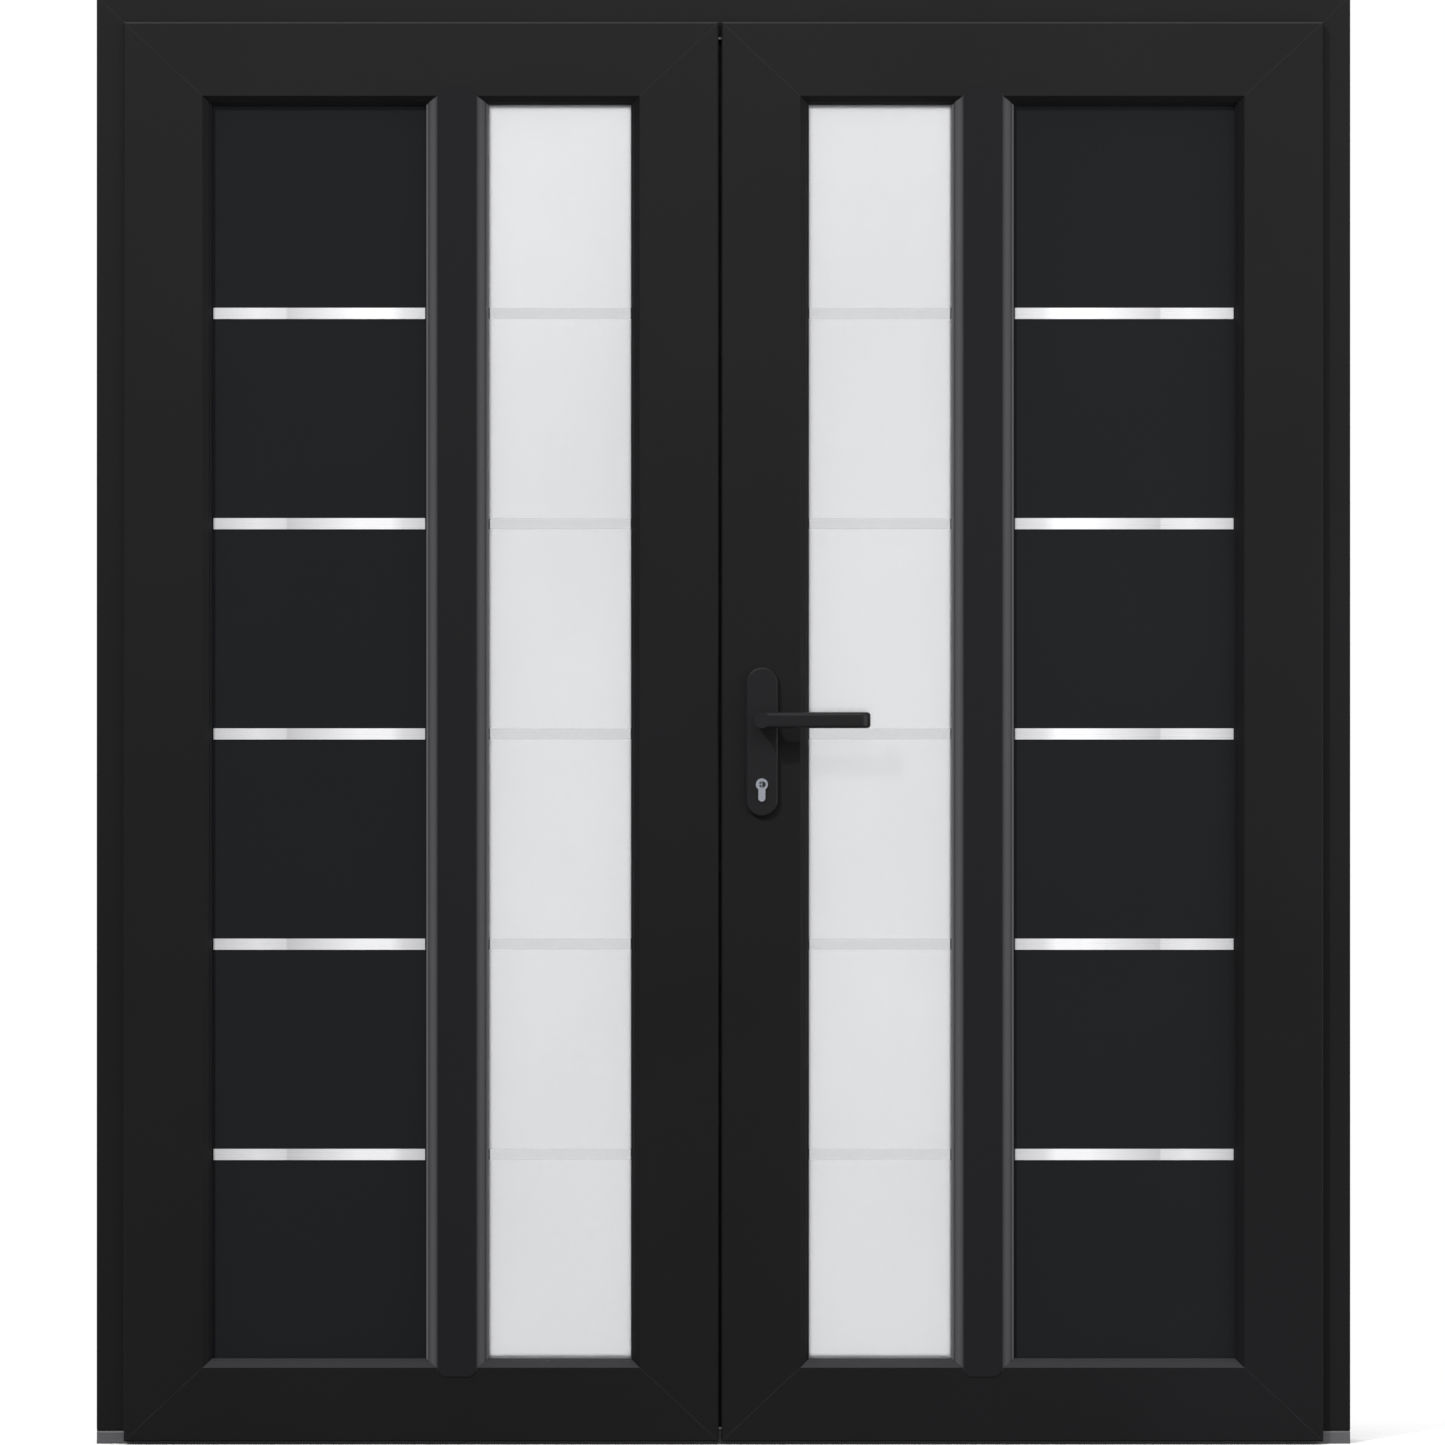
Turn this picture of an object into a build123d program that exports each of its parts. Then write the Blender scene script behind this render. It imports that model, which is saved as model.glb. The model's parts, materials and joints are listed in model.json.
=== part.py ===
from build123d import *
import os

os.makedirs("parts", exist_ok=True)

# Double entry door in its own frame, millimetres, +Z up.
# X runs across the doorway, -Y is the outside, where both leaves swing out.
# The origin is the middle of the threshold's underside.

# Frame
door_width = 1800
door_height = 2080
frame_face = 60  # jamb and head, from the wall side to the rebate wall
stop_rise = 20  # how far the stop stands into the doorway
stop_thickness = 15
stop_gap = 3  # between the stop and the back of a shut leaf
profile_wall = 3
threshold_height = 20
threshold_nose = 3
upstand_height = 12
upstand_shoulder = 2

# Leaves
lip_cover = 20  # how far a leaf laps over the frame
lip_thickness = 14
lip_gap = 4  # air between the lip and the frame's face
lip_radius = 2
leaf_depth = 70
hardware_gap = 12  # air between the rebate wall and the leaf's edge
sill_lap = 22  # the lip below the bottom rail's body
sill_clearance = 5  # under the lip
meeting_line = -5  # the wider leaf is the one with the handle
meeting_gap = 4
stile_width = 113
rail_width = 106
moulding_width = 12.5
moulding_depth = 14
moulding_step = 9
moulding_quirk = 2
moulding_quirk_slope = 0.6
glazing_lip = 4  # thickness of the lip behind the moulding
glazing_cover = 15.5  # how far that lip covers a pane or panel
groove_width = 20  # hardware groove along each meeting edge
groove_depth = 12

# Mullions
mullion_offset = 262  # from the meeting side's moulding to the mullion's middle
mullion_flat = 53
mullion_width = 89
mullion_quirk = 4  # width of the mould beyond its step
mullion_proud = 1.5
mullion_lap = 13  # onto the rails' faces
mullion_end_cut = 25

# Fillings
seal_thickness = 3
seal_width = 9
filling_thickness = 24
filling_clearance = 3
pane_thickness = 4
spacer_width = 8
spacer_setback = 3
bead_width = 17
bead_slope = 5
bead_slope_depth = 15
strip_count = 5
strip_pitch = 302
strip_drop = 299  # from the top of the panel in view to the first strip
strip_height = 16
strip_thickness = 1.5
strip_end_gap = 2

# Seals
stop_seal_width = 6
seal_setback = 1  # from the stop's inner edge
seal_clearance = 0.3
brush_clearance = 0.5
brush_thickness = 6
meeting_seal_width = 6
meeting_seal_root = 4
bulb_inset = 1  # the bulb is narrower than the seal's root
meeting_seal_depth = 15  # from the leaf's face

# Hinges, hidden under the lips
hinge_sill_height = 230  # middle of the lowest hinge
hinge_head_drop = 270  # middle of the highest hinge, below the frame's top
hinge_length = 96
hinge_notch_length = 100
knuckle_radius = 4.5
knuckle_gap = 0.5
knuckle_air = 1.5  # between a leaf's knuckle and the frame's face
knuckle_room = 1  # round a leaf's knuckle in the frame plate
leaf_knuckle_length = 34
hinge_plate = 3
hinge_plate_reach = 30  # back along the rebate
plate_setback = 0.4  # between the leaf plate and the frame's knuckles
pin_radius = 2.5
running_clearance = 0.05

# Handle and lock
backset = 58  # from the leaf's edge
lever_height = 1039
cylinder_drop = 92
plate_width = 46
plate_length = 214
plate_thickness = 10
plate_rounding = 2.5
plate_centre_drop = 31  # the plate's middle below the lever
lever_reach = 155
lever_bar_height = 23
lever_bar_depth = 14
lever_standoff = 44  # from the leaf's face to the back of the bar
lever_return = 18
lever_elbow = 8
lever_edge = 4.9
neck_gap = 1  # between a lever's neck and the leaf's face
lever_neck_radius = 10
spindle_size = 8
spindle_seat = 26  # inside each lever's neck
case_depth = 80
case_height = 176
case_thickness = 16
case_centre_drop = 38  # the case's middle below the lever
follower_radius = 12
follower_thickness = 12
faceplate_thickness = 2.5
bolt_clearance = 0.4
strike_clearance = 1
latch_rise = 24  # above the lever
latch_height = 26
latch_thickness = 11
latch_throw = 11
latch_length = 48
latch_slope = 9
deadbolt_drop = 44  # below the lever
deadbolt_height = 34
deadbolt_thickness = 11
deadbolt_length = 52
deadbolt_setback = 0.3  # behind the leaf's edge when drawn back
cylinder_radius = 8.5
cylinder_stem = 10
cylinder_height = 33
cylinder_stand = 3  # in front of the escutcheon
cylinder_fit = 0.2
plug_radius = 6
keyway_width = 1.6
keyway_height = 8
keyway_depth = 6
cam_width = 10
cam_radius = 7.6
cam_reach = 14
cam_finger = 5
cam_clearance = 0.4
cam_finger_short = 1  # the finger's corners stay inside its reach
turn_gap = 2  # from the cylinder to the wings
turn_edge = 1.5
turn_length = 16
turn_width = 26
turn_thickness = 9

# Flush bolts of the leaf that stays shut
rod_width = 10
rod_thickness = 5
rod_length = 420
rod_gap = 0.5
rod_point_radius = 4
rod_point_length = 30
head_bolt_entry = 12
sill_bolt_entry = 10
sill_bolt_spare = 2  # depth left under its point
thumb_length = 30
thumb_width = 7
thumb_travel = 27
slot_spare = 1  # beyond the thumb piece at each end of its slot
thumb_height = 300  # from the rod's leading end to its thumb piece
keeper_length = 60
keeper_width = 22
keeper_thickness = 3

# Wall anchors through the jambs
anchor_sill_height = 220
anchor_head_drop = 180
anchor_radius = 4

# Cuts
over = 1  # how far a cut runs past the face it opens

# Planes and edges that follow from the sizes above
frame_depth = leaf_depth - lip_gap - lip_thickness + stop_gap + stop_thickness
frame_front = -frame_depth / 2
frame_back = frame_depth / 2
stop_face = frame_back - stop_thickness
leaf_proud = lip_gap + lip_thickness
leaf_front = frame_front - leaf_proud
lip_edge = door_width / 2 - frame_face + lip_cover
leaf_top = door_height - frame_face + lip_cover
leaf_bottom = sill_clearance
rebate_edge = door_width / 2 - frame_face
rebate_top = door_height - frame_face
body_inset = lip_cover + hardware_gap
body_top = leaf_top - body_inset
body_bottom = leaf_bottom + sill_lap
mitre_ratio = rail_width / stile_width
stile_inner = stile_width + moulding_width
rail_inner = stile_inner * mitre_ratio
stile_body = stile_inner - glazing_cover
rail_body = rail_inner - glazing_cover
seal_plane = moulding_depth + glazing_lip
filling_front = seal_plane + seal_thickness
filling_back = filling_front + filling_thickness
hinge_high = door_height - hinge_head_drop
hinge_heights = (hinge_sill_height, (hinge_sill_height + hinge_high) / 2, hinge_high)
hinge_axis_inset = knuckle_radius + knuckle_gap
hinge_axis_depth = leaf_proud - knuckle_radius - knuckle_air
hinge_notch_depth = hinge_axis_depth - knuckle_radius - knuckle_gap
anchor_high = door_height - anchor_head_drop
anchor_heights = (anchor_sill_height, (anchor_sill_height + anchor_high) / 2, anchor_high)
lock_depth = leaf_depth / 2
lock_y = leaf_front + lock_depth
lock_edge = meeting_line + meeting_gap / 2
spindle_x = lock_edge + backset
cylinder_z = lever_height - cylinder_drop
case_middle = lever_height - case_centre_drop
case_z = (case_middle - case_height / 2, case_middle + case_height / 2)


def y_at(depth):
    """World Y of a depth measured from the leaf's front face."""
    return leaf_front + depth


def save(piece, name):
    """Label a finished piece and write it."""
    piece.label = name
    export_step(piece, f"parts/{name}.step")


def box_between(x, y, z, mode=Mode.ADD):
    """A block between two values on each axis."""
    with Locations(((x[0] + x[1]) / 2, (y[0] + y[1]) / 2, (z[0] + z[1]) / 2)):
        Box(abs(x[1] - x[0]), abs(y[1] - y[0]), abs(z[1] - z[0]), mode=mode)


def rod_along_y(x, z, radius, y, mode=Mode.ADD):
    """A round bar or bore along Y."""
    with Locations(Location((x, (y[0] + y[1]) / 2, z), (90, 0, 0))):
        Cylinder(radius, abs(y[1] - y[0]), mode=mode)


def rod_along_z(x, y, radius, z, mode=Mode.ADD):
    """A round bar or bore along Z."""
    with Locations((x, y, (z[0] + z[1]) / 2)):
        Cylinder(radius, abs(z[1] - z[0]), mode=mode)


def upright(section, z):
    """Extrude a plan section, given in X and Y, between two heights."""
    with BuildSketch(Plane.XY.offset(z[0])) as plan:
        Polygon(*section, align=None)
    extrude(plan.sketch, amount=z[1] - z[0])


def crosswise(section, x, mode=Mode.ADD):
    """Extrude a section, given in Y and Z, between two places on X."""
    with BuildSketch(Plane.YZ.offset(x[0])) as profile:
        Polygon(*section, align=None)
    extrude(profile.sketch, amount=x[1] - x[0], mode=mode)


def keep_outline(outline):
    """Cut what was built to an outline seen from the front, such as a mitre."""
    with BuildSketch(Plane.XZ) as front:
        Polygon(*outline, align=None)
    extrude(front.sketch, amount=2 * leaf_depth, both=True, mode=Mode.INTERSECT)


# Frame: two jambs and a head of one rebated profile, mitred at the top

def jamb_outline(inset_to_x):
    """The rebated profile's outline in plan."""
    outer, rebate, stop = (inset_to_x(i) for i in (0, frame_face, frame_face + stop_rise))
    return [
        (outer, frame_front), (rebate, frame_front), (rebate, stop_face),
        (stop, stop_face), (stop, frame_back), (outer, frame_back),
    ]


stop_inset = frame_face + stop_rise
chamber_near, chamber_far = profile_wall, frame_face - profile_wall
chamber_y = (frame_front + profile_wall, frame_back - profile_wall)

for side, name in ((-1, "frame_jamb_left"), (1, "frame_jamb_right")):
    jamb_z = (threshold_height, door_height)
    with BuildPart() as jamb:
        upright(jamb_outline(lambda inset: side * (door_width / 2 - inset)), jamb_z)
        box_between(
            (side * (door_width / 2 - chamber_near), side * (door_width / 2 - chamber_far)),
            chamber_y, jamb_z, mode=Mode.SUBTRACT,
        )
        keep_outline([
            (side * door_width / 2, threshold_height), (side * door_width / 2, door_height),
            (side * (door_width / 2 - stop_inset), door_height - stop_inset),
            (side * (door_width / 2 - stop_inset), threshold_height),
        ])
        for height in anchor_heights:
            with Locations(Location((side * (door_width - frame_face) / 2, 0, height), (0, 90, 0))):
                Cylinder(anchor_radius, frame_face, mode=Mode.SUBTRACT)
    save(jamb.part, name)

keeper_x = meeting_line - meeting_gap / 2 - groove_depth / 2 - faceplate_thickness / 2
rod_y = lock_y

with BuildPart() as frame_head:
    crosswise([
        (frame_front, door_height), (frame_front, rebate_top), (stop_face, rebate_top),
        (stop_face, rebate_top - stop_rise), (frame_back, rebate_top - stop_rise), (frame_back, door_height),
    ], (-door_width / 2, door_width / 2))
    box_between(
        (-door_width / 2, door_width / 2), chamber_y,
        (door_height - chamber_near, door_height - chamber_far), mode=Mode.SUBTRACT,
    )
    keep_outline([
        (-door_width / 2, door_height), (door_width / 2, door_height),
        (door_width / 2 - stop_inset, door_height - stop_inset),
        (stop_inset - door_width / 2, door_height - stop_inset),
    ])
    # the flush bolt goes through its keeper and the profile's wall
    rod_along_z(
        keeper_x, rod_y, rod_point_radius + rod_gap,
        (rebate_top - over, rebate_top + profile_wall + over), mode=Mode.SUBTRACT,
    )
    box_between(
        (keeper_x - keeper_length / 2, keeper_x + keeper_length / 2),
        (rod_y - keeper_width / 2, rod_y + keeper_width / 2),
        (rebate_top, rebate_top + keeper_thickness / 2), mode=Mode.SUBTRACT,
    )
save(frame_head.part, "frame_head")

upstand_x = rebate_edge - stop_rise
upstand_top = threshold_height + upstand_height

with BuildPart() as threshold:
    crosswise([
        (frame_front, 0), (frame_back, 0), (frame_back, threshold_height),
        (frame_front + threshold_nose, threshold_height), (frame_front, threshold_height - threshold_nose),
    ], (-door_width / 2, door_width / 2))
    crosswise([
        (stop_face, threshold_height), (frame_back, threshold_height),
        (frame_back, upstand_top - upstand_shoulder), (frame_back - upstand_shoulder, upstand_top),
        (stop_face, upstand_top),
    ], (-upstand_x, upstand_x))
    chamber_z = (profile_wall, threshold_height - profile_wall)
    front_chamber = (frame_front + profile_wall + threshold_nose, -profile_wall / 2)
    back_chamber = (profile_wall / 2, frame_back - profile_wall)
    for chamber in (front_chamber, back_chamber):
        box_between((-door_width / 2, door_width / 2), chamber, chamber_z, mode=Mode.SUBTRACT)
    rod_along_z(
        keeper_x, rod_y, rod_point_radius + rod_gap,
        (threshold_height - sill_bolt_entry - sill_bolt_spare, threshold_height + over),
        mode=Mode.SUBTRACT,
    )
    box_between(
        (keeper_x - keeper_length / 2, keeper_x + keeper_length / 2),
        (rod_y - keeper_width / 2, rod_y + keeper_width / 2),
        (threshold_height - keeper_thickness / 2, threshold_height), mode=Mode.SUBTRACT,
    )
save(threshold.part, "threshold")

with BuildPart() as stop_seal:
    seal_outer = upstand_x + seal_setback + stop_seal_width
    seal_bottom = upstand_top - stop_seal_width / 2 - seal_setback
    seal_top = rebate_top - stop_rise + seal_setback + stop_seal_width
    seal_y = (y_at(leaf_depth) + seal_clearance, stop_face)
    box_between((-seal_outer, seal_outer), seal_y, (seal_bottom, seal_top))
    box_between(
        (stop_seal_width - seal_outer, seal_outer - stop_seal_width), seal_y,
        (seal_bottom + stop_seal_width / 2, seal_top - stop_seal_width), mode=Mode.SUBTRACT,
    )
save(stop_seal.part, "frame_stop_seal")

for name, low in (("head_keeper", rebate_top - keeper_thickness / 2),
                  ("threshold_keeper", threshold_height - keeper_thickness / 2)):
    with BuildPart() as keeper:
        box_between(
            (keeper_x - keeper_length / 2, keeper_x + keeper_length / 2),
            (rod_y - keeper_width / 2, rod_y + keeper_width / 2), (low, low + keeper_thickness),
        )
        chamfer(keeper.edges().filter_by(Axis.Z), keeper_width / 4)
        rod_along_z(
            keeper_x, rod_y, rod_point_radius + rod_gap,
            (low - over, low + keeper_thickness + over), mode=Mode.SUBTRACT,
        )
    save(keeper.part, name)


def section_moulding(width, x_of):
    """The moulded inner edge that every stile and rail shares, front to glazing lip."""
    narrow = (moulding_width - moulding_step) * width / stile_width
    step = moulding_step * width / stile_width
    return [
        (x_of(width), y_at(0)),
        (x_of(width + step), y_at(moulding_step)),
        (x_of(width + step + moulding_quirk_slope), y_at(moulding_step + moulding_quirk)),
        (x_of(width + step + narrow), y_at(moulding_depth)),
        (x_of(width + step + narrow), y_at(seal_plane)),
        (x_of(width + step + narrow - glazing_cover), y_at(seal_plane)),
        (x_of(width + step + narrow - glazing_cover), y_at(leaf_depth)),
    ]


def trim_body_ends():
    """Clear the space behind the lips that the head and the threshold need."""
    across = (-door_width, door_width)
    behind = (y_at(lip_thickness), y_at(leaf_depth + over))
    box_between(across, behind, (body_top, leaf_top + over), mode=Mode.SUBTRACT)
    box_between(across, behind, (leaf_bottom - over, body_bottom), mode=Mode.SUBTRACT)


def cylinder_outline(extra=0):
    """The front outline of a profile cylinder: a round head over a narrow stem."""
    stem_height = cylinder_height - cylinder_radius
    with BuildSketch(Plane.XZ) as front:
        with Locations((spindle_x, cylinder_z)):
            Circle(cylinder_radius + extra)
        with Locations((spindle_x, cylinder_z - stem_height / 2)):
            SlotOverall(stem_height + 2 * extra, cylinder_stem + 2 * extra, rotation=90)
    return front.sketch


def cylinder_body(y, extra=0, mode=Mode.ADD):
    """That outline between two places on Y."""
    outline = cylinder_outline(extra).moved(Location((0, y[0], 0)))
    extrude(outline, amount=y[1] - y[0], dir=(0, 1, 0), mode=mode)


bolt_openings = (
    (lever_height + latch_rise, latch_height, latch_thickness),
    (lever_height - deadbolt_drop, deadbolt_height, deadbolt_thickness),
)

for side, leaf in ((-1, "left"), (1, "right")):
    hinge_edge = side * lip_edge
    meeting_edge = meeting_line + side * meeting_gap / 2

    def from_hinge(inset):
        """World X of an inset from the hinge edge."""
        return side * lip_edge - side * inset

    def from_meeting(inset):
        """World X of an inset from the meeting edge."""
        return meeting_line + side * (meeting_gap / 2 + inset)

    corners = [
        (hinge_edge, leaf_bottom), (hinge_edge, leaf_top),
        (meeting_edge, leaf_top), (meeting_edge, leaf_bottom),
    ]
    inner_corners = [
        (from_hinge(stile_inner), leaf_bottom + rail_inner),
        (from_hinge(stile_inner), leaf_top - rail_inner),
        (from_meeting(stile_inner), leaf_top - rail_inner),
        (from_meeting(stile_inner), leaf_bottom + rail_inner),
    ]

    def mitred(first):
        """The front outline of one member, from one corner of the leaf to the next."""
        second = (first + 1) % 4
        return [corners[first], corners[second], inner_corners[second], inner_corners[first]]

    # Hinge stile: lip, hollow body and moulded inner edge
    with BuildPart() as hinge_stile:
        upright([
            (from_hinge(0), y_at(lip_radius)), (from_hinge(lip_radius), y_at(0)),
            *section_moulding(stile_width, from_hinge),
            (from_hinge(body_inset), y_at(leaf_depth)),
            (from_hinge(body_inset), y_at(lip_thickness)), (from_hinge(0), y_at(lip_thickness)),
        ], (leaf_bottom, leaf_top))
        middle = (body_inset + stile_body) / 2
        for near, far in ((body_inset + profile_wall, middle - profile_wall / 2),
                          (middle + profile_wall / 2, stile_body - profile_wall)):
            box_between(
                (from_hinge(near), from_hinge(far)),
                (y_at(profile_wall), y_at(leaf_depth - profile_wall)),
                (leaf_bottom, leaf_top), mode=Mode.SUBTRACT,
            )
        keep_outline(mitred(0))
        trim_body_ends()
        for height in hinge_heights:
            box_between(
                (from_hinge(-over), from_hinge(body_inset)),
                (y_at(hinge_notch_depth), y_at(lip_thickness)),
                (height - hinge_notch_length / 2, height + hinge_notch_length / 2), mode=Mode.SUBTRACT,
            )
    save(hinge_stile.part, f"{leaf}_hinge_stile")

    # Meeting stile: square edge with the hardware groove and a slot for its seal
    with BuildPart() as meeting_stile:
        upright([
            (from_meeting(0), y_at(lip_radius)), (from_meeting(lip_radius), y_at(0)),
            *section_moulding(stile_width, from_meeting),
            (from_meeting(0), y_at(leaf_depth)),
        ], (leaf_bottom, leaf_top))
        box_between(
            (from_meeting(groove_depth + profile_wall), from_meeting(stile_body - profile_wall)),
            (y_at(profile_wall), y_at(leaf_depth - profile_wall)),
            (leaf_bottom, leaf_top), mode=Mode.SUBTRACT,
        )
        box_between(
            (from_meeting(-over), from_meeting(groove_depth)),
            (y_at(lock_depth - groove_width / 2), y_at(lock_depth + groove_width / 2)),
            (leaf_bottom, leaf_top), mode=Mode.SUBTRACT,
        )
        box_between(
            (from_meeting(-over), from_meeting(meeting_seal_root)),
            (y_at(meeting_seal_depth), y_at(meeting_seal_depth + meeting_seal_width)),
            (leaf_bottom, leaf_top), mode=Mode.SUBTRACT,
        )
        keep_outline(mitred(2))
        trim_body_ends()
        if side == 1:
            # pocket for the lock case, holes for the spindle and the cylinder
            box_between(
                (from_meeting(groove_depth - over), from_meeting(groove_depth + profile_wall + over)),
                (lock_y - case_thickness / 2, lock_y + case_thickness / 2), case_z, mode=Mode.SUBTRACT,
            )
            through = (y_at(-over), y_at(leaf_depth + over))
            rod_along_y(spindle_x, lever_height, lever_neck_radius, through, mode=Mode.SUBTRACT)
            cylinder_body(through, cylinder_fit, mode=Mode.SUBTRACT)
        else:
            # the latch and the deadbolt enter the groove's floor
            for height, tall, thick in bolt_openings:
                box_between(
                    (from_meeting(groove_depth - over), from_meeting(groove_depth + profile_wall + over)),
                    (lock_y - thick / 2 - strike_clearance, lock_y + thick / 2 + strike_clearance),
                    (height - tall / 2 - strike_clearance, height + tall / 2 + strike_clearance),
                    mode=Mode.SUBTRACT,
                )
    save(meeting_stile.part, f"{leaf}_meeting_stile")

    # Rails: the same profile, with the lip longer at the sill
    for place, first, z_of, lap in (
        ("top", 1, lambda inset: leaf_top - inset, body_inset),
        ("bottom", 3, lambda inset: leaf_bottom + inset, sill_lap),
    ):
        outline = [
            (y_at(lip_radius), z_of(0)), (y_at(0), z_of(lip_radius)),
            *[(y, z) for z, y in section_moulding(rail_width, z_of)],
            (y_at(leaf_depth), z_of(lap)), (y_at(lip_thickness), z_of(lap)), (y_at(lip_thickness), z_of(0)),
        ]
        with BuildPart() as rail:
            crosswise(outline, tuple(sorted((hinge_edge, meeting_edge))))
            middle = (lap + rail_body) / 2
            for near, far in ((lap + profile_wall, middle - profile_wall / 2),
                              (middle + profile_wall / 2, rail_body - profile_wall)):
                box_between(
                    (hinge_edge, meeting_edge), (y_at(profile_wall), y_at(leaf_depth - profile_wall)),
                    (z_of(near), z_of(far)), mode=Mode.SUBTRACT,
                )
            keep_outline(mitred(first))
            trim_body_ends()
        save(rail.part, f"{leaf}_{place}_rail")

    # Mullion: moulded on both sides, its ends coped over the rails
    mullion_x = from_meeting(stile_width + mullion_offset)
    half_flat, half_width = mullion_flat / 2, mullion_width / 2
    half_body = half_width - glazing_cover
    half_section = [
        (half_flat, y_at(-mullion_proud)), (half_width - mullion_quirk, y_at(moulding_step)),
        (half_width - mullion_quirk + moulding_quirk_slope, y_at(moulding_step + moulding_quirk)),
        (half_width, y_at(moulding_depth)),
        (half_width, y_at(seal_plane)), (half_body, y_at(seal_plane)), (half_body, y_at(leaf_depth)),
    ]
    with BuildPart() as mullion:
        reach = rail_width - mullion_lap
        mullion_z = (leaf_bottom + reach, leaf_top - reach)
        upright(
            [(mullion_x + x, y) for x, y in half_section]
            + [(mullion_x - x, y) for x, y in reversed(half_section)], mullion_z,
        )
        keep_outline([
            (mullion_x - half_width, mullion_z[0] + mullion_end_cut),
            (mullion_x - half_width + mullion_end_cut, mullion_z[0]),
            (mullion_x + half_width - mullion_end_cut, mullion_z[0]),
            (mullion_x + half_width, mullion_z[0] + mullion_end_cut),
            (mullion_x + half_width, mullion_z[1] - mullion_end_cut),
            (mullion_x + half_width - mullion_end_cut, mullion_z[1]),
            (mullion_x - half_width + mullion_end_cut, mullion_z[1]),
            (mullion_x - half_width, mullion_z[1] - mullion_end_cut),
        ])
        for z_of in (lambda inset: leaf_top - inset, lambda inset: leaf_bottom + inset):
            crosswise([
                (y_at(0), z_of(0)), *[(y, z) for z, y in section_moulding(rail_width, z_of)],
                (y_at(leaf_depth), z_of(0)),
            ], (mullion_x - mullion_width, mullion_x + mullion_width), mode=Mode.SUBTRACT)
        box_between(
            (mullion_x - half_body + profile_wall, mullion_x + half_body - profile_wall),
            (y_at(profile_wall), y_at(leaf_depth - profile_wall)),
            (leaf_bottom + rail_inner, leaf_top - rail_inner), mode=Mode.SUBTRACT,
        )
    save(mullion.part, f"{leaf}_mullion")

    # The two fields that the mullion divides, as X between rebate walls
    panel_field = tuple(sorted((from_hinge(stile_body), mullion_x + side * half_body)))
    glass_field = tuple(sorted((from_meeting(stile_body), mullion_x - side * half_body)))
    field_z = (leaf_bottom + rail_body, leaf_top - rail_body)

    def filling(field, front, thickness):
        """A pane or panel that fills a field."""
        box_between(
            (field[0] + filling_clearance, field[1] - filling_clearance),
            (y_at(front), y_at(front + thickness)),
            (field_z[0] + filling_clearance, field_z[1] - filling_clearance),
        )

    def ring(field, inset, width, depth):
        """A closed rectangular frame inside a field."""
        x = (field[0] + inset, field[1] - inset)
        z = (field_z[0] + inset, field_z[1] - inset)
        y = (y_at(depth[0]), y_at(depth[1]))
        box_between(x, y, z)
        box_between(
            (x[0] + width, x[1] - width), y, (z[0] + width, z[1] - width), mode=Mode.SUBTRACT,
        )

    with BuildPart() as panel:
        filling(panel_field, filling_front, filling_thickness)
    save(panel.part, f"{leaf}_panel")

    with BuildPart() as strips:
        strip_inset = glazing_cover + strip_end_gap
        strip_x = (panel_field[0] + strip_inset, panel_field[1] - strip_inset)
        first_strip = leaf_top - rail_inner - strip_drop
        with Locations([
            (sum(strip_x) / 2, y_at(filling_front - strip_thickness / 2), first_strip - n * strip_pitch)
            for n in range(strip_count)
        ]):
            Box(strip_x[1] - strip_x[0], strip_thickness, strip_height)
    save(strips.part, f"{leaf}_panel_strips")

    with BuildPart() as outer_pane:
        filling(glass_field, filling_front, pane_thickness)
    save(outer_pane.part, f"{leaf}_outer_pane")

    with BuildPart() as inner_pane:
        filling(glass_field, filling_back - pane_thickness, pane_thickness)
    save(inner_pane.part, f"{leaf}_inner_pane")

    with BuildPart() as spacer:
        ring(
            glass_field, filling_clearance + spacer_setback, spacer_width,
            (filling_front + pane_thickness, filling_back - pane_thickness),
        )
    save(spacer.part, f"{leaf}_glass_spacer")

    with BuildPart() as glazing_seals:
        for field in (panel_field, glass_field):
            ring(field, glazing_cover - seal_width, seal_width, (seal_plane, filling_front))
    save(glazing_seals.part, f"{leaf}_glazing_seals")

    # Glazing beads: four mitred bars a field, sloped on the side in view
    bead_front, bead_back = y_at(filling_back), y_at(leaf_depth)
    bead_shoulder = y_at(leaf_depth - bead_slope_depth)

    def bead_section(wall, sign):
        """Across and back from the rebate wall that a bead stands on."""
        return [
            (wall, bead_front), (wall + sign * bead_width, bead_front),
            (wall + sign * bead_width, bead_shoulder),
            (wall + sign * (bead_width - bead_slope), bead_back), (wall, bead_back),
        ]

    for field, kind in ((panel_field, "panel"), (glass_field, "glass")):
        x_walls = (field, (field[0] + bead_width, field[1] - bead_width))
        z_walls = (field_z, (field_z[0] + bead_width, field_z[1] - bead_width))
        outer, inner = (
            [(x0, z0), (x0, z1), (x1, z1), (x1, z0)] for (x0, x1), (z0, z1) in zip(x_walls, z_walls)
        )
        bars = []
        for n, (wall, sign) in enumerate(((field[0], 1), (field_z[1], -1), (field[1], -1), (field_z[0], 1))):
            m = (n + 1) % 4
            with BuildPart() as bar:
                if n % 2 == 0:
                    upright(bead_section(wall, sign), field_z)
                else:
                    crosswise([(y, z) for z, y in bead_section(wall, sign)], field)
                keep_outline([outer[n], outer[m], inner[m], inner[n]])
            bars.append(bar.part)
        save(Compound(children=bars), f"{leaf}_{kind}_beads")

    # Seals: one in the meeting edge, a brush under the bottom rail
    with BuildPart() as meeting_seal:
        bulb = meeting_gap / 2 - seal_clearance
        seal_y = (y_at(meeting_seal_depth), y_at(meeting_seal_depth + meeting_seal_width))
        box_between((from_meeting(0), from_meeting(meeting_seal_root)), seal_y, (body_bottom, body_top))
        box_between(
            (from_meeting(0), from_meeting(-bulb)), (seal_y[0] + bulb_inset, seal_y[1] - bulb_inset),
            (body_bottom, body_top),
        )
    save(meeting_seal.part, f"{leaf}_meeting_seal")

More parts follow.
